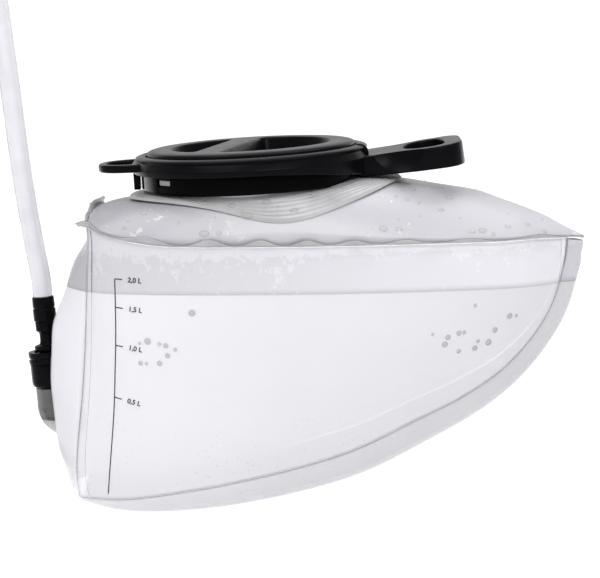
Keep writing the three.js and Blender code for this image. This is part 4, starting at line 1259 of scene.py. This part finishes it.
def build_bubbles(side_tree, look):
    """Air bubbles that lie against the inside of the right side panel."""
    rng = np.random.default_rng(5)
    bm = bmesh.new()
    # Centre (x, z) of each group, its half width and half height, and how many bubbles it tries.
    groups = [(-73, -24, 12, 6, 12), (106, -8, 3, 4, 4), (82, -21, 17, 5, 14), (-53, -5, 1, 1, 1),
              (87, -4, 1, 1, 1)]
    taken = []
    for x0, z0, wide, tall, count in groups:
        for _ in range(count):
            x, z = x0 + rng.uniform(-wide, wide), z0 + rng.uniform(-tall, tall)
            radius = 0.8 + 1.0 * rng.random()
            hit = side_tree.ray_cast(Vector(put((x, -90, z))), Vector((0, 1, 0)))
            if hit[0] is None or any(math.hypot(x - a, z - b) < 1.1 * (radius + c) for a, b, c in taken):
                continue
            taken.append((x, z, radius))
            add_drop(bm, hit, radius, 0.2)
    settle(to_object("bubbles", bm, angle=180), "root", "film", look)


# ---------------------------------------------------------------- stage
def build_camera():
    """Level with the bladder's long side, looking slightly down."""
    camera = bpy.data.objects.new("camera", bpy.data.cameras.new("camera"))
    camera.data.sensor_width = 36
    camera.data.lens = 177.3
    camera.data.clip_end = 50
    camera.location = put((0, -1487.2, 195.8))
    aim = Vector(put((0, 0, 0))) - camera.location
    camera.rotation_euler = aim.to_track_quat("-Z", "Y").to_euler()
    bpy.context.scene.collection.objects.link(camera)
    bpy.context.scene.camera = camera


def add_light(name, centre, target, size, power):
    light = bpy.data.lights.new(name, "AREA")
    light.shape = "RECTANGLE"
    light.size, light.size_y = size
    light.energy = power
    lamp = bpy.data.objects.new(name, light)
    lamp.location = centre
    lamp.rotation_euler = (Vector(target) - Vector(centre)).to_track_quat("-Z", "Y").to_euler()
    bpy.context.scene.collection.objects.link(lamp)


def build_stage():
    bm = bmesh.new()
    bmesh.ops.create_grid(bm, x_segments=2, y_segments=2, size=40)
    mesh = bpy.data.meshes.new("floor")
    bm.to_mesh(mesh)
    bm.free()
    floor = bpy.data.objects.new("floor", mesh)
    floor.location = (0, 20, (FLOOR - PAD[2]) * MM - 0.0006)
    bpy.context.scene.collection.objects.link(floor)
    look = Look("floor_look", (0.9, 0.9, 0.9), 0.9)
    look.shader.inputs["Emission Color"].default_value = (1, 1, 1, 1)
    look.shader.inputs["Emission Strength"].default_value = 0.8
    look.set("Base Color", look.mottle(3, 2, 0.4, 0.42))
    floor.data.materials.append(look.mat)
    world = bpy.data.worlds.new("studio")
    world.use_nodes = True
    world.node_tree.nodes["Background"].inputs[0].default_value = (1, 1, 1, 1)
    world.node_tree.nodes["Background"].inputs[1].default_value = 0.62
    bpy.context.scene.world = world
    # Name, place and aim in metres, size, and watts.
    add_light("key", (-0.7, -0.6, 1.2), (0, 0, 0), (1.0, 0.6), 9)
    add_light("overhead", (0.1, 0.3, 1.3), (0, 0, 0), (1.6, 1.0), 14)
    add_light("front", (0.35, -1.1, 0.75), (0, 0, -0.05), (0.8, 0.4), 9)
    bpy.context.scene.view_settings.view_transform = "Standard"


# ---------------------------------------------------------------- assembly
def build():
    build_camera()
    looks = {
        "black_matte": grained("black_moulded", (0.0016, 0.0014, 0.002), (0.0028, 0.0026, 0.0036), 0.3,
                               1400, 0.03, (0.05, 0.56), Specular_Tint=(0.92, 0.91, 1.0, 1)),
        "black_gloss": grained("black_gloss_look", (0.0008, 0.0008, 0.001), (0.0012, 0.0012, 0.0014), 0.08,
                               500, 0.01, (0.02, 0.5)),
        "silicone": grained("silicone_look", (0.045, 0.045, 0.05), (0.06, 0.06, 0.065), 0.5, 900, 0.03),
        "seal": grained("seal_look", (0.006, 0.006, 0.006), (0.01, 0.01, 0.01), 0.45, 900, 0.02),
        "flange_tpu": clear_look("cover_look", (0.85, 0.86, 0.9), 0.3, 0.75, 0.12),
    }
    flange = grained("flange_look", (0.31, 0.31, 0.322), (0.38, 0.38, 0.39), 0.3, 500, 0.06)
    webbing = grained("strap_look", (0.008, 0.008, 0.01), (0.018, 0.018, 0.02), 0.85, 1800, 0.25)
    ink = grained("ink_look", (0.012, 0.012, 0.014), (0.02, 0.02, 0.022), 0.5, 900, 0.02)

    hose, path, length = build_hose(hose_look())
    tie = build_tie(webbing)
    on_hose = [tie, *build_valve(looks)]
    build_connector(looks)
    on_hose += [bpy.data.objects[name] for name in ("plug", "plug_seal", "cuff")]

    build_film()
    build_water()
    build_seams()
    build_rear_pleat(bpy.data.materials["film_top_look"])
    build_flange(flange)
    build_collar(looks["black_gloss"], flange)
    build_handle(looks["black_matte"])
    build_cap(looks["black_matte"], looks["silicone"])
    build_outlet(flange, elbow_look(), looks["black_matte"])
    for node in ("release_spring", "poppet_spring"):
        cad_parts[node].data.materials.clear()
        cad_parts[node].data.materials.append(steel_look())
    side_tree = surface_of(bpy.data.objects["film_side_right"])
    flange_tree = surface_of(bpy.data.objects["neck_skirt"])
    build_scale(side_tree, ink)
    # Painted shade: the air bubbles are dark grey, denser at the outline, in place of the dark rim that
    # refraction makes.
    build_bubbles(side_tree, clear_look("bubble_rim_shade_look", (0.26, 0.26, 0.28), 0.16, 0.85, 0.1))
    # Painted shade: the drops are grey, denser at the outline, in place of the dark rim that their
    # refraction makes.
    drop = clear_look("drop_rim_shade_look", (0.5, 0.5, 0.52), 0.14, 0.8, 0.03)
    build_drops(surface_of(bpy.data.objects["film_top"]), flange_tree, drop)
    build_stage()


build()
